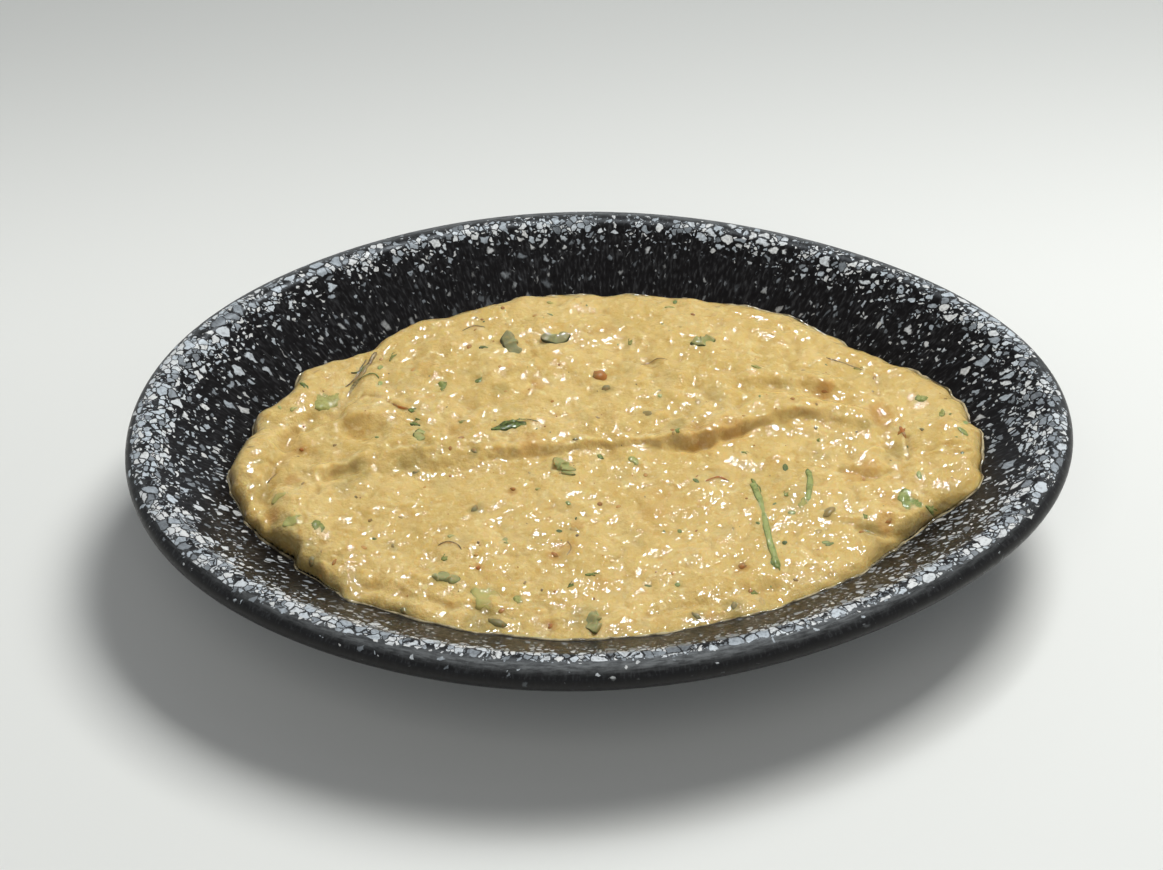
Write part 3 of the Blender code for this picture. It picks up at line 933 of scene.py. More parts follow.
def paste_material():
    material, tree, shader = new_material(
        "aubergine_paste", Roughness=0.62, Subsurface_Weight=0.7, Subsurface_Scale=0.0030,
        Specular_IOR_Level=0.25, Coat_Weight=1.0, Coat_Roughness=0.03)
    shader.inputs["Subsurface Radius"].default_value = (1.0, 0.68, 0.32)
    broad = noise_node(tree, 60, 3)
    fine = noise_node(tree, 420, 3, 0.6)
    color = mix_color(tree, map_range(tree, broad.outputs["Fac"], 0.35, 0.65),
                      (0.63, 0.446, 0.146), (0.70, 0.512, 0.190))
    color = mix_color(tree, map_range(tree, fine.outputs["Fac"], 0.50, 0.72, 0, 0.5), color,
                      (0.56, 0.330, 0.075))
    pale = noise_node(tree, 520, 2)
    color = mix_color(tree, map_range(tree, pale.outputs["Fac"], 0.54, 0.70, 0, 0.6), color,
                      (0.78, 0.63, 0.29))
    grey = noise_node(tree, 110, 2)
    color = mix_color(tree, map_range(tree, grey.outputs["Fac"], 0.58, 0.74, 0, 0.35), color,
                      (0.48, 0.37, 0.15))
    # Painted shade, partly: darker olive near the edge, where thin paste over black resin also
    # darkens it.
    color = mix_color(tree, map_range(tree, attribute(tree, "edge"), 0.2, 1.0, 0, 0.35, False),
                      color, (0.42, 0.30, 0.10))
    # Painted shade: darker olive on steep sides.
    color = mix_color(tree, map_range(tree, attribute(tree, "steep"), 0.45, 0.95, 0, 0.15),
                      color, (0.40, 0.24, 0.06))
    # Painted shade: darker orange-brown in hollows and creases.
    hollow = math_node(tree, 'MULTIPLY', map_range(tree, attribute(tree, "hollow"), 0.30, 1.0,
                                                   0, 0.42, False),
                       map_range(tree, broad.outputs["Fac"], 0.35, 0.6, 0.45, 1.0))
    color = mix_color(tree, hollow, color, (0.40, 0.21, 0.035))
    # Olive and rust patches: sunk leaves and browned flesh, and painted shade in the ridge's pockets,
    # hollows and along the front-left edge.
    color = mix_color(tree, math_node(tree, 'MULTIPLY', attribute(tree, "olive"), 0.55), color,
                      (0.24, 0.195, 0.055))
    color = mix_color(tree, math_node(tree, 'MULTIPLY', attribute(tree, "rust"), 0.50), color,
                      (0.46, 0.185, 0.022))
    tree.links.new(color, shader.inputs["Base Color"])

    grain = noise_node(tree, 340, 2, 0.55)
    grain_bump = add_node(tree, 'ShaderNodeBump', values={
        "Strength": 1.0, "Distance": 0.00048, "Height": grain.outputs["Fac"]})
    soft = noise_node(tree, 1300, 3, 0.55)
    soft_bump = add_node(tree, 'ShaderNodeBump', values={
        "Strength": 0.8, "Distance": 0.00025, "Height": soft.outputs["Fac"],
        "Normal": grain_bump.outputs["Normal"]})
    tree.links.new(soft_bump.outputs["Normal"], shader.inputs["Normal"])
    wet_film(tree, shader, grain_bump.outputs["Normal"])
    return material


paste = paste_material()
dip.data.materials.append(paste)
finish_piece(dip, "dip", "baba_ganoush")

# %% [markdown]
# ## What is stirred in
#
# Chopped coriander, green chilli, charred skin and threads of aubergine lie on the paste or
# sink into it. Each kind is one piece at its true size. The larger scraps are placed one by one,
# each with its own heading and its own dive, the depth to which one end goes under. Every
# vertex of a scrap is dropped straight down onto the dip, so it drapes over the lumps.

# %% Finding the dip's surface
dip_surface = BVHTree.FromPolygons([vertex.co for vertex in dip.data.vertices],
                                   [tuple(face.vertices) for face in dip.data.polygons])


def on_dip(x, y):
    """Place and normal on the dip's top at X, Y in millimetres, or at its edge nearby."""
    above = Vector((x, y, 60)) * MM
    place, normal, _, _ = dip_surface.ray_cast(above, Vector((0, 0, -1)))
    if place is None:
        place, normal, _, _ = dip_surface.find_nearest(Vector((x, y, DIP_LEVEL)) * MM)
    return place, normal


def new_layers(solid, names):
    """Number layers of a bmesh that become the mesh's attributes."""
    return [solid.verts.layers.float.new(name) for name in names]


def mesh_from(solid, name):
    """The bmesh as a smooth mesh with its normals outwards."""
    bmesh.ops.recalc_face_normals(solid, faces=solid.faces)
    mesh = bpy.data.meshes.new(name)
    solid.to_mesh(mesh)
    solid.free()
    mesh.shade_smooth()
    return mesh


# %% Herb scraps
# X, Y, length, width, heading in degrees, dive of the far end, shade (0 dark, 1 pale), veil.
HERBS = [
    (-23.0, 8.0, 9.3, 2.8, 12, 0.0, 0.17, 0.00), (-38.8, 24.0, 4.8, 4.6, -50, 0.5, 0.48, 0.10),
    (-46.4, 10.4, 3.7, 2.9, 20, 0.3, 0.21, 0.00), (-47.5, 15.1, 2.2, 1.7, 12, 0.2, 0.21, 0.00),
    (-30.0, 27.0, 3.7, 2.2, 65, 0.4, 0.34, 0.00), (43.0, 27.0, 4.8, 1.9, 5, 0.5, 0.53, 0.30),
    (84.3, 15.8, 5.0, 4.1, 42, 0.5, 0.61, 0.10), (87.8, 9.3, 5.6, 2.2, 96, 0.5, 0.57, 0.20),
    (77.4, -20.6, 8.0, 4.8, -62, 0.2, 0.66, 0.00), (82.6, -22.9, 4.1, 1.7, -4, 0.3, 0.53, 0.10),
    (-69.0, 23.2, 12.4, 6.1, 60, 0.4, 0.66, 0.35), (-77.2, -21.0, 8.6, 3.9, 48, 0.4, 0.84, 0.30),
    (-71.4, -25.3, 4.1, 3.5, -68, 0.2, 0.43, 0.10), (-80.6, -12.6, 7.0, 3.8, 45, 0.5, 0.89, 0.55),
    (-75.4, 25.8, 3.2, 1.6, -52, 0.2, 0.34, 0.00), (-77.6, 18.4, 3.5, 1.9, 50, 0.5, 0.75, 0.40),
    (-40.1, -35.1, 2.6, 2.0, 60, 0.3, 0.48, 0.10), (-34.8, 10.3, 1.9, 1.4, -20, 0.2, 0.48, 0.20),
    (1.0, -2.2, 3.9, 2.2, -28, 0.6, 0.26, 0.00), (9.6, -4.6, 5.8, 3.5, -34, 0.5, 0.68, 0.25),
    (20.2, 5.6, 5.0, 2.3, 86, 0.9, 0.39, 0.00), (46.0, -18.0, 2.6, 1.7, 80, 0.3, 0.43, 0.20),
    (65.7, -26.7, 3.0, 1.7, -45, 0.4, 0.39, 0.10), (-29.0, -49.6, 11.3, 6.7, -32, 0.4, 0.95, 0.55),
    (-21.5, -50.4, 4.5, 3.2, -20, 0.5, 0.66, 0.30), (-4.0, -43.0, 3.7, 1.3, 3, 0.2, 0.23, 0.00),
    (-9.6, -45.8, 3.2, 1.2, 62, 0.3, 0.19, 0.00), (-28.0, 38.6, 3.9, 1.9, 20, 0.4, 0.21, 0.00),
    (10.0, 39.5, 2.8, 1.6, 75, 0.3, 0.48, 0.20), (22.0, 52.0, 4.8, 1.6, 8, 0.5, 0.66, 0.40),
    (-38.0, -28.0, 2.8, 2.0, 30, 0.4, 0.75, 0.40), (37.0, -2.6, 2.4, 1.3, -15, 0.3, 0.39, 0.20),
    (-16.0, -12.0, 2.2, 1.4, 40, 0.4, 0.57, 0.40), (56.0, 2.0, 2.4, 1.4, 80, 0.4, 0.34, 0.10),
    (69.0, 27.0, 3.2, 1.3, -20, 0.3, 0.26, 0.40), (-52.0, 37.0, 4.5, 1.4, 55, 0.3, 0.21, 0.20),
    (-10.0, 55.4, 3.0, 1.4, 5, 0.4, 0.66, 0.50), (36.0, -50.0, 3.2, 2.0, 20, 0.4, 0.26, 0.10),
]
HERBS += [
    (38.5, -15.0, 7.0, 1.9, -78, 0.3, 0.42, 0.0), (41.4, -41.4, 5.0, 2.2, -78, 0.2, 0.40, 0.0),
    (52.3, -11.8, 5.4, 1.9, -86, 0.4, 0.40, 0.0), (50.6, -22.4, 5.4, 3.0, -80, 0.4, 0.62, 0.4),
]
SCRAP_ROWS = 12
SCRAP_COLUMNS = 4


def lay_scrap(solid, layers, scrap, dice):
    """Lay one leaf-shaped scrap on the dip."""
    x, y, length, width, heading, dive, shade, veil = scrap
    along_way = Vector((math.cos(math.radians(heading)), math.sin(math.radians(heading)), 0))
    across_way = Vector((-along_way.y, along_way.x, 0))
    bow = dice.uniform(-0.12, 0.12) * length
    rows = []
    for i in range(SCRAP_ROWS + 1):
        t = i / SCRAP_ROWS
        half = width / 2 * math.sin(math.pi * (0.05 + 0.9 * t)) ** 0.6
        ragged = 1 + 0.22 * math.sin(9 * t + 6 * bow) + dice.uniform(-0.20, 0.20)
        row = []
        for j in range(-SCRAP_COLUMNS, SCRAP_COLUMNS + 1):
            side = j / SCRAP_COLUMNS
            spot = along_way * (t - 0.5) * length + across_way * (
                side * half * ragged + bow * (1 - (2 * t - 1) ** 2))
            place, normal = on_dip(x + spot.x, y + spot.y)
            lift = 0.15 + 0.09 * math.cos(3 * side + 5 * t) - 0.20 * side ** 4 - dive * t ** 2
            vertex = solid.verts.new(place + normal * lift * MM)
            vertex[layers[0]] = shade + 0.15 * (1 - abs(side)) + 0.08 * math.sin(12 * t + 3 * side)
            vertex[layers[1]] = min(1, veil * (0.6 + 0.8 * t))
            row.append(vertex)
        rows.append(row)
    for low, high in zip(rows, rows[1:]):
        for j in range(len(low) - 1):
            solid.faces.new((low[j], low[j + 1], high[j + 1], high[j]))


def thicken(name, mesh, thickness):
    """Give an open sheet its thickness, downwards into the paste."""
    sheet = add_object(name, mesh)
    solidify = sheet.modifiers.new("thickness", 'SOLIDIFY')
    solidify.thickness = thickness
    solidify.offset = -1
    return plain_mesh(name, sheet)


def leaf_material():
    material, tree, shader = new_material(
        "coriander", Roughness=0.5, Subsurface_Weight=0.15, Subsurface_Scale=0.0006,
        Coat_Weight=0.4, Coat_Roughness=0.05, Specular_IOR_Level=0.25)
    veins = noise_node(tree, 900, 3, 0.6)
    shade = math_node(tree, 'ADD', attribute(tree, "shade"),
                      map_range(tree, veins.outputs["Fac"], 0.35, 0.65, -0.18, 0.18))
    dark = mix_color(tree, map_range(tree, shade, 0.0, 0.45), (0.040, 0.050, 0.012),
                     (0.150, 0.195, 0.042))
    color = mix_color(tree, map_range(tree, shade, 0.4, 1.0), dark, (0.33, 0.37, 0.125))
    color = mix_color(tree, attribute(tree, "veil"), color, (0.60, 0.44, 0.135))
    tree.links.new(color, shader.inputs["Base Color"])
    bump = add_node(tree, 'ShaderNodeBump', values={
        "Strength": 0.6, "Distance": 0.00015, "Height": veins.outputs["Fac"]})
    tree.links.new(bump.outputs["Normal"], shader.inputs["Normal"])
    wet_film(tree, shader)
    return material


leaf = leaf_material()
herb_solid = bmesh.new()
herb_layers = new_layers(herb_solid, ("shade", "veil"))
herb_dice = np.random.default_rng(5)
for herb_scrap in HERBS:
    lay_scrap(herb_solid, herb_layers, herb_scrap, herb_dice)
herbs = add_object("herb_scraps", thicken("herb_scraps", mesh_from(herb_solid, "herb_sheet"),
                                          0.22 * MM), leaf)
finish_piece(herbs, "dip")

# %% [markdown]
# Stems and threads follow a path over the dip. A path is a few X, Y points, each with a lift
# above the surface, so a stem can dip under the paste and come up again.

# %% Stems and threads
# Points of X, Y, lift; then the radius and the shade.
STEMS = [
    ([(37.8, -13.0, 0.0), (38.4, -16, 0.2), (39.2, -19.5, 0.05), (39.6, -23, -0.18),
      (40.0, -28, 0.0), (40.4, -33, 0.05), (41.0, -38, 0.12), (41.8, -43, 0.0)], 0.85, 0.95),
    ([(52.2, -9.6, 0.0), (52.4, -13, 0.15), (51.8, -17, 0.05), (51.0, -21, -0.2),
      (50.6, -24, -0.5)], 0.80, 0.90),
    ([(-62.8, 28.5, 0.1), (-59.8, 29.8, 0.3), (-57.2, 29.8, 0.2), (-56.0, 28.2, 0.0)], 0.22, 0.5),
    ([(-63.4, 31.6, 0.1), (-61.0, 32.4, 0.2), (-59.2, 34.8, 0.1)], 0.25, 0.3),
    ([(-24.0, 8.6, 0.3), (-20.0, 10.0, 0.5), (-15.4, 9.4, 0.1)], 0.16, 0.3),
]
THREADS = [
    ([(-56.8, 38.6, 0.0), (-58.9, 34.6, 0.2), (-62.4, 27.8, 0.1), (-64.4, 22.0, -0.2)], 0.55, 0.4),
    ([(-59.4, 36.4, 0.1), (-61.8, 31.0, 0.3), (-64.8, 26.0, 0.1)], 0.20, 0.2),
    ([(-52.6, 18.2, 0.1), (-50.6, 16.4, 0.3), (-48.4, 15.4, 0.1)], 0.32, 0.9),
    ([(-82.0, -3.4, 0.0), (-83.4, -5.0, 0.2), (-84.6, -6.4, 0.0)], 0.20, 0.1),
    ([(-41.8, -31.2, 0.0), (-39.4, -30.4, 0.3), (-37.0, -31.4, 0.2), (-36.0, -33.2, 0.0)], 0.18, 0.3),
    ([(12.0, 30.0, 0.0), (16.0, 31.4, 0.2), (19.0, 30.6, 0.0)], 0.15, 0.5),
    ([(-10.0, -36.0, 0.0), (-8.8, -33.6, 0.2), (-9.6, -31.0, 0.0)], 0.16, 0.6),
    ([(26.0, -12.0, 0.0), (29.0, -11.0, 0.25), (32.0, -12.2, 0.0)], 0.25, 1.0),
    ([(60.0, 31.0, 0.0), (66.0, 29.0, 0.1), (70.0, 26.6, 0.0)], 0.16, 0.3),
    ([(-34.0, 45.0, 0.0), (-31.0, 46.4, 0.2), (-28.0, 46.0, 0.0)], 0.16, 0.2),
    ([(77.2, 5.4, 0.0), (77.6, 3.4, 0.3), (78.2, 1.4, 0.0)], 0.45, 1.0),
]
STRAND_SIDES = 8


def strand_path(points, steps=6):
    """Evenly rounded places and normals along a path laid on the dip."""
    line = np.array(points)
    run = np.arange(len(line))
    fine = np.linspace(0, len(line) - 1, steps * (len(line) - 1) + 1)
    places, normals = [], []
    for t in fine:
        i = min(int(t), len(line) - 2)
        before, start, end, after = (line[max(i - 1, 0)], line[i], line[i + 1],
                                     line[min(i + 2, len(line) - 1)])
        u = t - run[i]
        x, y, lift = (2 * start + (end - before) * u
                      + (2 * before - 5 * start + 4 * end - after) * u ** 2
                      + (3 * start - before - 3 * end + after) * u ** 3) / 2
        place, normal = on_dip(x, y)
        places.append(place + normal * lift * MM)
        normals.append(normal)
    return places, normals


def add_tube(solid, layers, places, normals, radii, shades, flat=0.26, loop=False):
    """A tube along places, a little flattened across the normals; a loop joins its ends."""
    rings = []
    last = len(places) - 1
    for i, (place, normal) in enumerate(zip(places, normals)):
        after = (i + 1) % len(places) if loop else min(i + 1, last)
        before = i - 1 if loop else max(i - 1, 0)
        ahead = (places[after] - places[before]).normalized()
        side = ahead.cross(normal).normalized()
        ring = []
        for k in range(STRAND_SIDES):
            turn = 2 * math.pi * k / STRAND_SIDES
            vertex = solid.verts.new(place + float(radii[i]) * (
                side * math.cos(turn) + normal * (math.sin(turn) * flat)))
            vertex[layers[0]] = shades[i]
            ring.append(vertex)
        rings.append(ring)
    following = rings[1:] + rings[:1] if loop else rings[1:]
    for low, high in zip(rings, following):
        for k in range(STRAND_SIDES):
            m = (k + 1) % STRAND_SIDES
            solid.faces.new((low[k], low[m], high[m], high[k]))
    return rings


def close_ends(solid, rings):
    solid.faces.new(rings[0][::-1])
    solid.faces.new(rings[-1])


def lay_strands(name, strands, material):
    """One piece with every strand of a list."""
    solid = bmesh.new()
    layers = new_layers(solid, ("shade", "veil"))
    for number, (points, radius, shade) in enumerate(strands):
        places, normals = strand_path(points)
        last = len(places) - 1
        radii, shades = [], []
        for i in range(last + 1):
            end = min(i, last - i)
            swell = 1 + 0.09 * math.sin(0.8 * i + number)
            radii.append(radius * MM * swell * (0.45, 0.85, 1.0)[min(end, 2)])
            shades.append(shade + 0.14 * math.sin(0.9 * i + number)
                          - 0.35 * abs(2 * i / last - 1) ** 3)
        close_ends(solid, add_tube(solid, layers, places, normals, radii, shades))
    return add_object(name, mesh_from(solid, name), material)


def thread_material():
    material, tree, shader = new_material(
        "aubergine_thread", Roughness=0.35, Subsurface_Weight=0.3, Subsurface_Scale=0.001,
        Coat_Weight=0.6, Coat_Roughness=0.06)
    mottle = noise_node(tree, 1200, 2)
    shade = math_node(tree, 'ADD', attribute(tree, "shade"),
                      map_range(tree, mottle.outputs["Fac"], 0.35, 0.65, -0.15, 0.15))
    color = mix_color(tree, map_range(tree, shade, 0.0, 0.5), (0.10, 0.075, 0.025),
                      (0.34, 0.24, 0.09))
    color = mix_color(tree, map_range(tree, shade, 0.6, 1.0), color, (0.42, 0.145, 0.022))
    tree.links.new(color, shader.inputs["Base Color"])
    return material


thread = thread_material()
finish_piece(lay_strands("herb_stems", STEMS, leaf), "dip")
finish_piece(lay_strands("aubergine_threads", THREADS, thread), "dip")

# %% [markdown]
# Green chilli comes as short curved strips cut from the pod's wall: dark skin outside, glassy
# pale flesh inside. Each is a coarse curved cage rounded by a Subdivision Surface, tipped over
# and sunk to about half its depth.

# %% Chilli pieces
# X, Y, outer radius, wall, arc in degrees, depth, heading, tilt in degrees, lift, shade.
CHILLIES = [
    (-22.0, 39.0, 7.8, 4.7, 95, 2.1, 250, 14, 0.35, 0.00),
    (-10.0, 40.0, 5.8, 3.5, 115, 2.0, 210, 18, 0.35, 0.10),
    (29.0, 37.0, 5.8, 4.4, 100, 1.8, 240, 10, 0.05, 0.70),
    (-9.0, -5.0, 6.1, 5.3, 120, 2.3, 265, 12, 0.25, 0.75),
    (-40.0, -42.0, 6.1, 4.0, 100, 2.1, 262, 16, 0.40, 0.45),
    (-5.0, -59.0, 5.8, 4.0, 110, 2.0, 275, 16, 0.25, 0.40),
    (-46.0, 5.6, 4.4, 3.5, 110, 1.8, 80, 10, -0.15, 0.90),
    (-26.0, -29.5, 4.8, 3.2, 110, 1.8, 300, 12, -0.25, 0.80),
    (64.6, -29.4, 4.0, 2.6, 90, 1.6, 200, 12, -0.20, 0.60),
]
CHILLI_STEPS = 8


def lay_chilli(solid, layers, chilli):
    """A curved strip of chilli, tipped and sunk into the dip."""
    x, y, radius, wall, arc, depth, heading, tilt, lift, shade = chilli
    dice = np.random.default_rng(int(abs(x) * 10))
    place, normal = on_dip(x, y)
    turned = normal.to_track_quat('Z', 'Y')
    centre = radius - wall / 2
    rings = []
    for i in range(CHILLI_STEPS + 1):
        angle = math.radians(arc * (i / CHILLI_STEPS - 0.5))
        taper = 0.72 + 0.28 * math.sin(math.pi * i / CHILLI_STEPS)
        ring = []
        for out, up, skin in ((-1, -1, 0), (0, -1, 0.3), (1, -1, 1), (1, 1, 1), (0, 1, 0.15),
                              (-1, 1, 0)):
            reach = centre + out * wall / 2 * taper
            spot = Vector((reach * math.cos(angle) - centre, reach * math.sin(angle),
                           up * depth / 2 * taper - (0.25 if out == 0 and up == 1 else 0)))
            spot += Vector(dice.uniform(-0.20, 0.20, 3)) * wall
            spot.rotate(Matrix.Rotation(math.radians(tilt), 3, 'Y'))
            spot.rotate(Matrix.Rotation(math.radians(heading), 3, 'Z'))
            spot.rotate(turned)
            vertex = solid.verts.new(place + (spot + normal * (lift - 0.45)) * MM)
            vertex[layers[0]] = shade
            vertex[layers[1]] = skin
            ring.append(vertex)
        rings.append(ring)
    for low, high in zip(rings, rings[1:]):
        for k in range(6):
            m = (k + 1) % 6
            solid.faces.new((low[k], low[m], high[m], high[k]))
    close_ends(solid, rings)


def chilli_material():
    material, tree, shader = new_material(
        "green_chilli", Roughness=0.5, Subsurface_Weight=0.5, Subsurface_Scale=0.0015,
        Coat_Weight=0.7, Coat_Roughness=0.04, Specular_IOR_Level=0.25)
    mottle = noise_node(tree, 800, 3)
    flesh = mix_color(tree, attribute(tree, "shade"), (0.270, 0.262, 0.125),
                      (0.36, 0.37, 0.125))
    flesh = mix_color(tree, map_range(tree, mottle.outputs["Fac"], 0.45, 0.7, 0, 0.6), flesh,
                      (0.42, 0.36, 0.13))
    skin_green = mix_color(tree, attribute(tree, "shade"), (0.030, 0.038, 0.012),
                           (0.085, 0.100, 0.020))
    skin = map_range(tree, attribute(tree, "skin"), 0.62, 0.90)
    tree.links.new(mix_color(tree, skin, flesh, skin_green), shader.inputs["Base Color"])
    bump = add_node(tree, 'ShaderNodeBump', values={
        "Strength": 0.4, "Distance": 0.0002, "Height": mottle.outputs["Fac"]})
    tree.links.new(bump.outputs["Normal"], shader.inputs["Normal"])
    wet_film(tree, shader, bump.outputs["Normal"])
    return material


def make_chillies():
    solid = bmesh.new()
    layers = new_layers(solid, ("shade", "skin"))
    for chilli in CHILLIES:
        lay_chilli(solid, layers, chilli)
    rounded = add_object("chilli_pieces", mesh_from(solid, "chilli_cage"))
    soften = rounded.modifiers.new("round", 'SUBSURF')
    soften.levels = 2
    soften.render_levels = 2
    mesh = plain_mesh("chilli_pieces", rounded)
    return add_object("chilli_pieces", mesh, chilli_material())


finish_piece(make_chillies(), "dip")

# %% [markdown]
# A few larger bits of browned skin are placed one by one. Each is an uneven flattened lump, half
# sunk; its shade runs from rust to grey-olive.

# %% Browned bits
# X, Y, length, width, height, heading, lift and shade (0 rust, 1 grey-olive).
BITS = [
    (1, 26.5, 4.0, 4.2, 2.6, 20, 0.7, 0.1), (2.6, 21.4, 2.6, 2.0, 1.4, 60, 0.0, 0.85),
    (-32.4, -19.2, 2.8, 2.0, 1.5, 15, 0.0, 0.9), (-47, -5.4, 2.0, 1.2, 1.0, 10, -0.1, 0.9),
    (-32, 0.2, 2.2, 1.4, 1.2, -10, 0.0, 0.75), (59, 18.8, 3.4, 1.8, 1.2, 5, -0.2, 0.15),
    (77.4, 3.6, 3.0, 1.1, 1.0, -62, 0.1, 0.0), (-76, 4.6, 1.3, 1.0, 0.9, 0, 0.1, 0.0),
    (-67.5, 5.2, 1.2, 1.0, 0.8, 40, 0.0, 0.6), (-62, -13.7, 1.2, 0.9, 0.8, 0, 0.0, 0.7),
    (-53, -31, 1.4, 1.1, 0.8, 0, 0.0, 0.8), (-67.4, -36.7, 2.4, 1.0, 0.9, -65, 0.0, 0.1),
    (33, -41.6, 2.4, 1.8, 1.3, 80, 0.0, 0.35), (-13, -35.6, 2.2, 1.6, 1.2, -70, -0.1, 0.1),
    (55.6, 5.6, 1.6, 1.2, 0.9, 0, 0.0, 0.9), (24, -10, 1.6, 0.8, 0.7, 10, -0.1, 0.3),
    (-6.2, 2.6, 1.6, 0.8, 0.9, 30, 0.2, 0.8), (82.4, 2.6, 1.3, 1.0, 0.8, 0, 0.0, 0.8),
    (90, 14.4, 1.4, 0.9, 0.7, 50, 0.0, 0.5), (72.5, 23.5, 1.5, 0.9, 0.7, 10, 0.0, 0.4),
    (-58.5, -22, 1.3, 1.0, 0.8, 0, 0.0, 0.7), (-15, -59, 1.9, 1.2, 1.0, 0, 0.1, 0.05),
    (-32, -39.4, 1.4, 1.1, 0.9, 0, 0.1, 0.05), (-22.6, -12.4, 1.5, 1.0, 0.8, 20, 0.1, 0.0),
    (30, -54.8, 3.4, 1.8, 1.5, 20, 0.0, 0.95), (20.6, -57.6, 3.2, 1.6, 1.4, 25, 0.1, 1.0),
    (-27.6, -57.8, 4.8, 2.2, 1.6, -12, 0.2, 1.0), (-50.6, -52, 2.6, 1.6, 1.3, -20, 0.0, 0.95),
    (-73, -35, 3.0, 2.0, 1.6, -50, 0.0, 0.9), (71, -27.6, 3.0, 1.6, 1.3, 15, -0.1, 0.3),
]


def lay_bit(solid, layers, bit, dice):
    """One uneven flattened lump, turned to the surface under it."""
    x, y, length, width, height, heading, lift, shade = bit
    place, normal = on_dip(x, y)
    turned = normal.to_track_quat('Z', 'Y')
    lump = bmesh.ops.create_icosphere(solid, subdivisions=2, radius=0.5)["verts"]
    for vertex in lump:
        spot = vertex.co * (1 + dice.uniform(-0.22, 0.22))
        spot = Vector((spot.x * length, spot.y * width, spot.z * height))
        spot.rotate(Matrix.Rotation(math.radians(heading), 3, 'Z'))
        spot.rotate(turned)
        vertex.co = place + (spot + normal * (lift - 0.22 * height)) * MM
        vertex[layers[0]] = shade + dice.uniform(-0.12, 0.12)


def bit_material():
    material, tree, shader = new_material(
        "browned_skin", Roughness=0.5, Subsurface_Weight=0.5, Subsurface_Scale=0.001,
        Coat_Weight=0.8, Coat_Roughness=0.04)
    mottle = noise_node(tree, 900, 3, 0.6)
    shade = math_node(tree, 'ADD', attribute(tree, "shade"),
                      map_range(tree, mottle.outputs["Fac"], 0.3, 0.7, -0.25, 0.25))
    color = mix_color(tree, map_range(tree, shade, 0.0, 0.5), (0.40, 0.150, 0.018),
                      (0.32, 0.190, 0.050))
    color = mix_color(tree, map_range(tree, shade, 0.5, 1.0), color, (0.235, 0.205, 0.080))
    tree.links.new(color, shader.inputs["Base Color"])
    wet_film(tree, shader)
    return material


def make_bits():
    solid = bmesh.new()
    layers = new_layers(solid, ("shade", "veil"))
    dice = np.random.default_rng(17)
    for bit in BITS:
        lay_bit(solid, layers, bit, dice)
    return add_object("browned_bits", mesh_from(solid, "browned_bits"), bit_material())


finish_piece(make_bits(), "dip")

# %% [markdown]
# Crumbs too small to place by hand are scattered. One Geometry Nodes tree does it for every
# kind: it picks points on the flat of the dip, sinks each a little, puts an uneven flattened
# grain there, and keeps a random shade for the material. A fixed seed gives the same crumbs
# every time.

# %% Tree that scatters crumbs


def random_number(tree, low, high, seed):
    """A random number for each point."""
    node = add_node(tree, 'FunctionNodeRandomValue', data_type='FLOAT')
    for index, value in ((2, low), (3, high), (8, seed)):
        if isinstance(value, bpy.types.NodeSocket):
            tree.links.new(value, node.inputs[index])
        else:
            node.inputs[index].default_value = value
    return node.outputs[1]


def named_number(tree, name):
    return add_node(tree, 'GeometryNodeInputNamedAttribute', data_type='FLOAT',
                    values={"Name": name}).outputs[0]


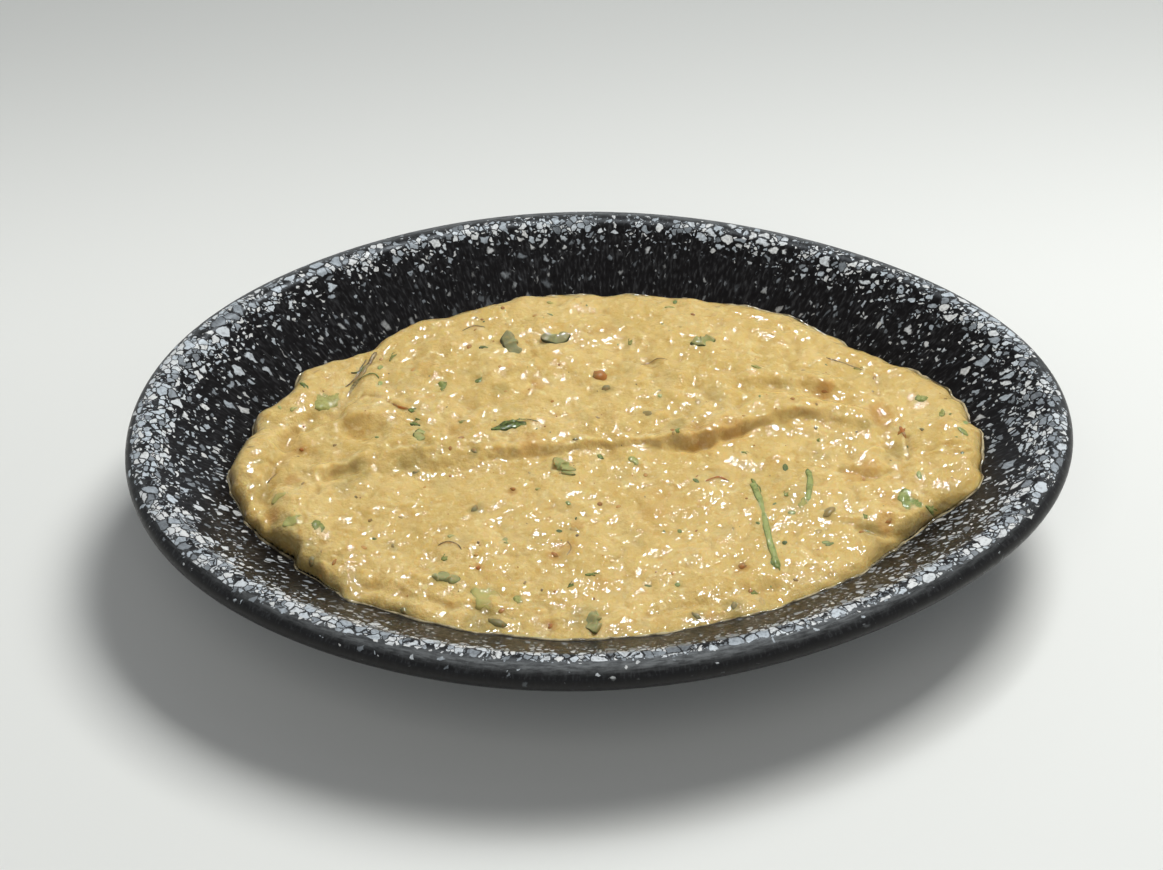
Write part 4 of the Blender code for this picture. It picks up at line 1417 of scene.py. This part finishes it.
def scatter_tree():
    """Geometry Nodes tree that scatters uneven grains over the flat of the dip."""
    tree = bpy.data.node_groups.new("scatter_crumbs", 'GeometryNodeTree')
    tree.interface.new_socket("Geometry", in_out='INPUT', socket_type='NodeSocketGeometry')
    sockets = {name: tree.interface.new_socket(name, in_out='INPUT', socket_type=kind)
               for name, kind in (("Number per area", 'NodeSocketFloat'),
                                  ("Smallest", 'NodeSocketFloat'),
                                  ("Largest", 'NodeSocketFloat'),
                                  ("Longest", 'NodeSocketFloat'),
                                  ("Flatness", 'NodeSocketFloat'),
                                  ("Sink", 'NodeSocketFloat'),
                                  ("Unevenness", 'NodeSocketFloat'),
                                  ("Seed", 'NodeSocketInt'),
                                  ("Finish", 'NodeSocketMaterial'))}
    tree.interface.new_socket("Geometry", in_out='OUTPUT', socket_type='NodeSocketGeometry')
    given = tree.nodes.new('NodeGroupInput').outputs
    result = tree.nodes.new('NodeGroupOutput')

    flat = math_node(tree, 'LESS_THAN', named_number(tree, "steep"), 0.5)
    clear = math_node(tree, 'LESS_THAN', named_number(tree, "edge"), 0.6)
    chosen = add_node(tree, 'GeometryNodeDistributePointsOnFaces', values={
        "Mesh": given["Geometry"], "Selection": math_node(tree, 'MULTIPLY', flat, clear),
        "Density": given["Number per area"], "Seed": given["Seed"]})
    chance = random_number(tree, 0.0, 1.0, 3)
    spread = math_node(tree, 'SUBTRACT', given["Largest"], given["Smallest"])
    size = math_node(tree, 'ADD', given["Smallest"], math_node(
        tree, 'MULTIPLY', spread, math_node(tree, 'POWER', chance, 2.2)))
    depth = math_node(tree, 'MULTIPLY', math_node(tree, 'MULTIPLY', size, given["Sink"]), -1.0)
    offset = add_node(tree, 'ShaderNodeVectorMath', operation='SCALE', values={
        0: chosen.outputs["Normal"], "Scale": depth}).outputs[0]
    sunk = add_node(tree, 'GeometryNodeSetPosition', values={
        "Geometry": chosen.outputs["Points"], "Offset": offset})
    grain = add_node(tree, 'GeometryNodeMeshIcoSphere', values={
        "Radius": 0.5, "Subdivisions": 2})
    stretch = math_node(tree, 'MULTIPLY', size, random_number(tree, 1.0, given["Longest"], 5))
    scale = add_node(tree, 'ShaderNodeCombineXYZ', values={
        0: stretch, 1: size, 2: math_node(tree, 'MULTIPLY', size, given["Flatness"])})
    spin = add_node(tree, 'ShaderNodeCombineXYZ', values={
        2: random_number(tree, 0.0, 2 * math.pi, 7)})
    turned = add_node(tree, 'FunctionNodeRotateRotation', rotation_space='LOCAL', values={
        0: chosen.outputs["Rotation"],
        1: add_node(tree, 'FunctionNodeEulerToRotation', values={0: spin.outputs[0]}).outputs[0]})
    placed = add_node(tree, 'GeometryNodeInstanceOnPoints', values={
        "Points": sunk.outputs[0], "Instance": grain.outputs["Mesh"],
        "Rotation": turned.outputs[0], "Scale": scale.outputs[0]})
    shaded = add_node(tree, 'GeometryNodeStoreNamedAttribute', data_type='FLOAT',
                      domain='INSTANCE', values={
                          "Geometry": placed.outputs[0], "Name": "shade",
                          "Value": random_number(tree, 0.0, 1.0, 11)})
    real = add_node(tree, 'GeometryNodeRealizeInstances', values={0: shaded.outputs[0]})
    rough = add_node(tree, 'ShaderNodeTexNoise', values={"Scale": 1400.0, "Detail": 1.0})
    lean = add_node(tree, 'ShaderNodeVectorMath', operation='SUBTRACT', values={
        0: rough.outputs["Color"], 1: (0.5, 0.5, 0.5)}).outputs[0]
    push = add_node(tree, 'ShaderNodeVectorMath', operation='SCALE', values={
        0: lean, "Scale": given["Unevenness"]}).outputs[0]
    uneven = add_node(tree, 'GeometryNodeSetPosition', values={
        "Geometry": real.outputs[0], "Offset": push})
    soft = add_node(tree, 'GeometryNodeSetShadeSmooth', values={0: uneven.outputs[0]})
    finished = add_node(tree, 'GeometryNodeSetMaterial', values={
        "Geometry": soft.outputs[0], "Material": given["Finish"]})
    tree.links.new(finished.outputs[0], result.inputs[0])
    return tree, sockets


crumb_tree, crumb_sockets = scatter_tree()


def scatter(name, material, **sizes):
    """One piece of scattered crumbs; sizes go to the tree's inputs, in mm where lengths."""
    carrier = add_object(name, dip.data.copy())
    modifier = carrier.modifiers.new("scatter", 'NODES')
    modifier.node_group = crumb_tree
    modifier[crumb_sockets["Finish"].identifier] = material
    for key, value in sizes.items():
        modifier[crumb_sockets[key.replace("_", " ")].identifier] = value
    mesh = plain_mesh(name, carrier)
    piece = add_object(name, mesh)
    finish_piece(piece, "dip")
    return piece


# %% Crumbs of each kind


def crumb_material(name, dark, middle, light, gloss):
    """A wet crumb: its colour runs from dark to light with the crumb's random shade."""
    material, tree, shader = new_material(name, Roughness=gloss, Coat_Weight=0.5,
                                          Coat_Roughness=0.08, Subsurface_Weight=0.2,
                                          Subsurface_Scale=0.0006)
    mottle = noise_node(tree, 1600, 2)
    shade = math_node(tree, 'ADD', attribute(tree, "shade"),
                      map_range(tree, mottle.outputs["Fac"], 0.35, 0.65, -0.12, 0.12))
    color = mix_color(tree, map_range(tree, shade, 0.0, 0.5), dark, middle)
    color = mix_color(tree, map_range(tree, shade, 0.5, 1.0), color, light)
    tree.links.new(color, shader.inputs["Base Color"])
    return material


rust = crumb_material("toasted_crumb", (0.30, 0.135, 0.032), (0.44, 0.205, 0.042),
                      (0.55, 0.30, 0.070), 0.45)
char = crumb_material("charred_speck", (0.17, 0.112, 0.042), (0.32, 0.210, 0.072),
                      (0.42, 0.29, 0.095), 0.4)
green = crumb_material("herb_crumb", (0.085, 0.115, 0.028), (0.19, 0.235, 0.062),
                       (0.36, 0.40, 0.13), 0.4)
olive = crumb_material("aubergine_bit", (0.30, 0.22, 0.075), (0.46, 0.33, 0.115),
                       (0.62, 0.45, 0.16), 0.35)
scatter("toasted_crumbs", rust, Number_per_area=6500.0, Smallest=0.35 * MM, Largest=1.5 * MM,
        Longest=1.7, Flatness=0.5, Sink=0.10, Unevenness=0.35 * MM, Seed=3)
scatter("charred_specks", char, Number_per_area=2500.0, Smallest=0.25 * MM, Largest=0.95 * MM,
        Longest=2.2, Flatness=0.5, Sink=0.08, Unevenness=0.25 * MM, Seed=8)
scatter("herb_crumbs", green, Number_per_area=3000.0, Smallest=0.4 * MM, Largest=1.6 * MM,
        Longest=2.4, Flatness=0.4, Sink=0.08, Unevenness=0.3 * MM, Seed=14)
scatter("aubergine_bits", olive, Number_per_area=1500.0, Smallest=0.9 * MM, Largest=3.0 * MM,
        Longest=1.7, Flatness=0.5, Sink=0.20, Unevenness=0.5 * MM, Seed=21)

# %% [markdown]
# Where the paste meets the wall, a fine bead of oil and water creeps round its edge. It is a
# closed tube of uneven thickness that follows the dip's own outline. Its bright line of small
# glints, with pale patches in its colour that are partly thinned paste and partly a painted
# highlight, is what makes the dip look wet.

# %% Wet line
BEAD_STEPS = 720


def make_wet_line():
    solid = bmesh.new()
    layers = new_layers(solid, ("shade", "veil"))
    turns = np.linspace(0, 2 * math.pi, BEAD_STEPS, endpoint=False)
    wave = gradient_noise(np.cos(turns) * 34, np.sin(turns) * 34, 131)
    slow = gradient_noise(np.cos(turns) * 7, np.sin(turns) * 7, 137)
    thickness = np.clip(0.33 + 0.18 * wave + 0.24 * slow, 0.10, 0.66) * MM
    places, normals = [], []
    for turn, radius in zip(turns.tolist(), thickness.tolist()):
        inset = float(edge_inset(turn)) - 0.75 * radius
        x, y = oval_point(inset, turn)
        inward = Vector((-x, -y, 0)).normalized()
        normals.append((inward * math.sin(WALL_SLOPE) + Vector((0, 0, math.cos(WALL_SLOPE)))))
        places.append(Vector((x, y, inner_height(inset))) + normals[-1] * 0.25 * radius)
    add_tube(solid, layers, places, normals, thickness, [0.5] * BEAD_STEPS, 1.0, loop=True)
    return add_object("wet_line", mesh_from(solid, "wet_line"), wet_material())


def wet_material():
    material, tree, shader = new_material("oil_film", Roughness=0.05, Specular_IOR_Level=0.6,
                                          Coat_Weight=1.0, Coat_Roughness=0.02)
    ripple = noise_node(tree, 260, 3)
    # Pale patches in the dark film: partly thinned paste, partly a painted highlight along the bead.
    tree.links.new(mix_color(tree, map_range(tree, ripple.outputs["Fac"], 0.35, 0.65),
                             (0.10, 0.080, 0.042), (0.52, 0.44, 0.26)),
                   shader.inputs["Base Color"])
    bump = add_node(tree, 'ShaderNodeBump', values={
        "Strength": 1.0, "Distance": 0.0004, "Height": ripple.outputs["Fac"]})
    tree.links.new(bump.outputs["Normal"], shader.inputs["Normal"])
    return material


finish_piece(make_wet_line(), "dip")

# %% [markdown]
# ## Floor, light and camera

# %% Floor
bpy.ops.mesh.primitive_plane_add(size=6)
floor = bpy.context.object
floor.name = "floor"
floor_material, floor_tree, floor_shader = new_material("pale_floor", Roughness=0.6)
# Darker towards the back: the floor's colour runs from pale in front to grey behind the bowl.
floor_depth = add_node(floor_tree, 'ShaderNodeSeparateXYZ', values={
    0: add_node(floor_tree, 'ShaderNodeTexCoord').outputs["Object"]}).outputs["Y"]
floor_tree.links.new(mix_color(floor_tree, map_range(floor_tree, floor_depth, 0.07, 0.27),
                               (0.78, 0.79, 0.75), (0.44, 0.45, 0.43)),
                     floor_shader.inputs["Base Color"])
floor.data.materials.append(floor_material)

# %% Light
world = bpy.data.worlds.new("studio")
bpy.context.scene.world = world
world.use_nodes = True
sky = world.node_tree
sky_way = add_node(sky, 'ShaderNodeSeparateXYZ', values={
    0: add_node(sky, 'ShaderNodeTexCoord').outputs["Generated"]})
sky_color = mix_color(sky, map_range(sky, sky_way.outputs["Z"], 0.0, 0.7), (0.62, 0.66, 0.70),
                      (0.10, 0.10, 0.11))
sky.links.new(sky_color, sky.nodes["Background"].inputs["Color"])
sky.nodes["Background"].inputs["Strength"].default_value = 1.1


def area_light(name, place, aim, size, power, color):
    """A square area light that faces a point."""
    data = bpy.data.lights.new(name, 'AREA')
    data.size = size
    data.energy = power
    data.color = color
    light = bpy.data.objects.new(name, data)
    light.location = place
    light.rotation_euler = (Vector(aim) - Vector(place)).to_track_quat('-Z', 'Y').to_euler()
    bpy.context.scene.collection.objects.link(light)
    return light


CENTRE = Vector((0, 0, HEIGHT / 2))
lamp = area_light("lamp", (0.18, 0.43, 1.08), CENTRE, 0.15, 7.0, (0.86, 0.94, 1.0))
lamp.visible_diffuse = False
softbox = area_light("softbox", (0.37, 0.38, 1.04), CENTRE, 0.48, 12.7, (1.0, 1.0, 1.0))
softbox.visible_glossy = False
fill = area_light("front_fill", (-0.2, -0.9, 1.3), CENTRE, 0.90, 3.7, (1.0, 0.99, 0.97))
fill.visible_glossy = False

# %% Camera
CAMERA_AZIMUTH = math.radians(-2.6)
CAMERA_ELEVATION = math.radians(45)
CAMERA_DISTANCE = 0.900
camera_data = bpy.data.cameras.new("camera")
camera_data.sensor_width = 36
camera_data.lens = 110.3
camera = bpy.data.objects.new("camera", camera_data)
bpy.context.scene.collection.objects.link(camera)
backward = Vector((math.sin(CAMERA_AZIMUTH) * math.cos(CAMERA_ELEVATION),
                   -math.cos(CAMERA_AZIMUTH) * math.cos(CAMERA_ELEVATION),
                   math.sin(CAMERA_ELEVATION)))
turned = backward.to_track_quat('Z', 'Y')
right = turned @ Vector((1, 0, 0))
up = turned @ Vector((0, 1, 0))
aim = Vector((0, 0, HEIGHT)) - 4.74 * MM * right - 2.8 * MM * up
camera.rotation_euler = turned.to_euler()
camera.location = aim + CAMERA_DISTANCE * backward
bpy.context.scene.camera = camera
bpy.context.scene.view_settings.view_transform = 'Standard'
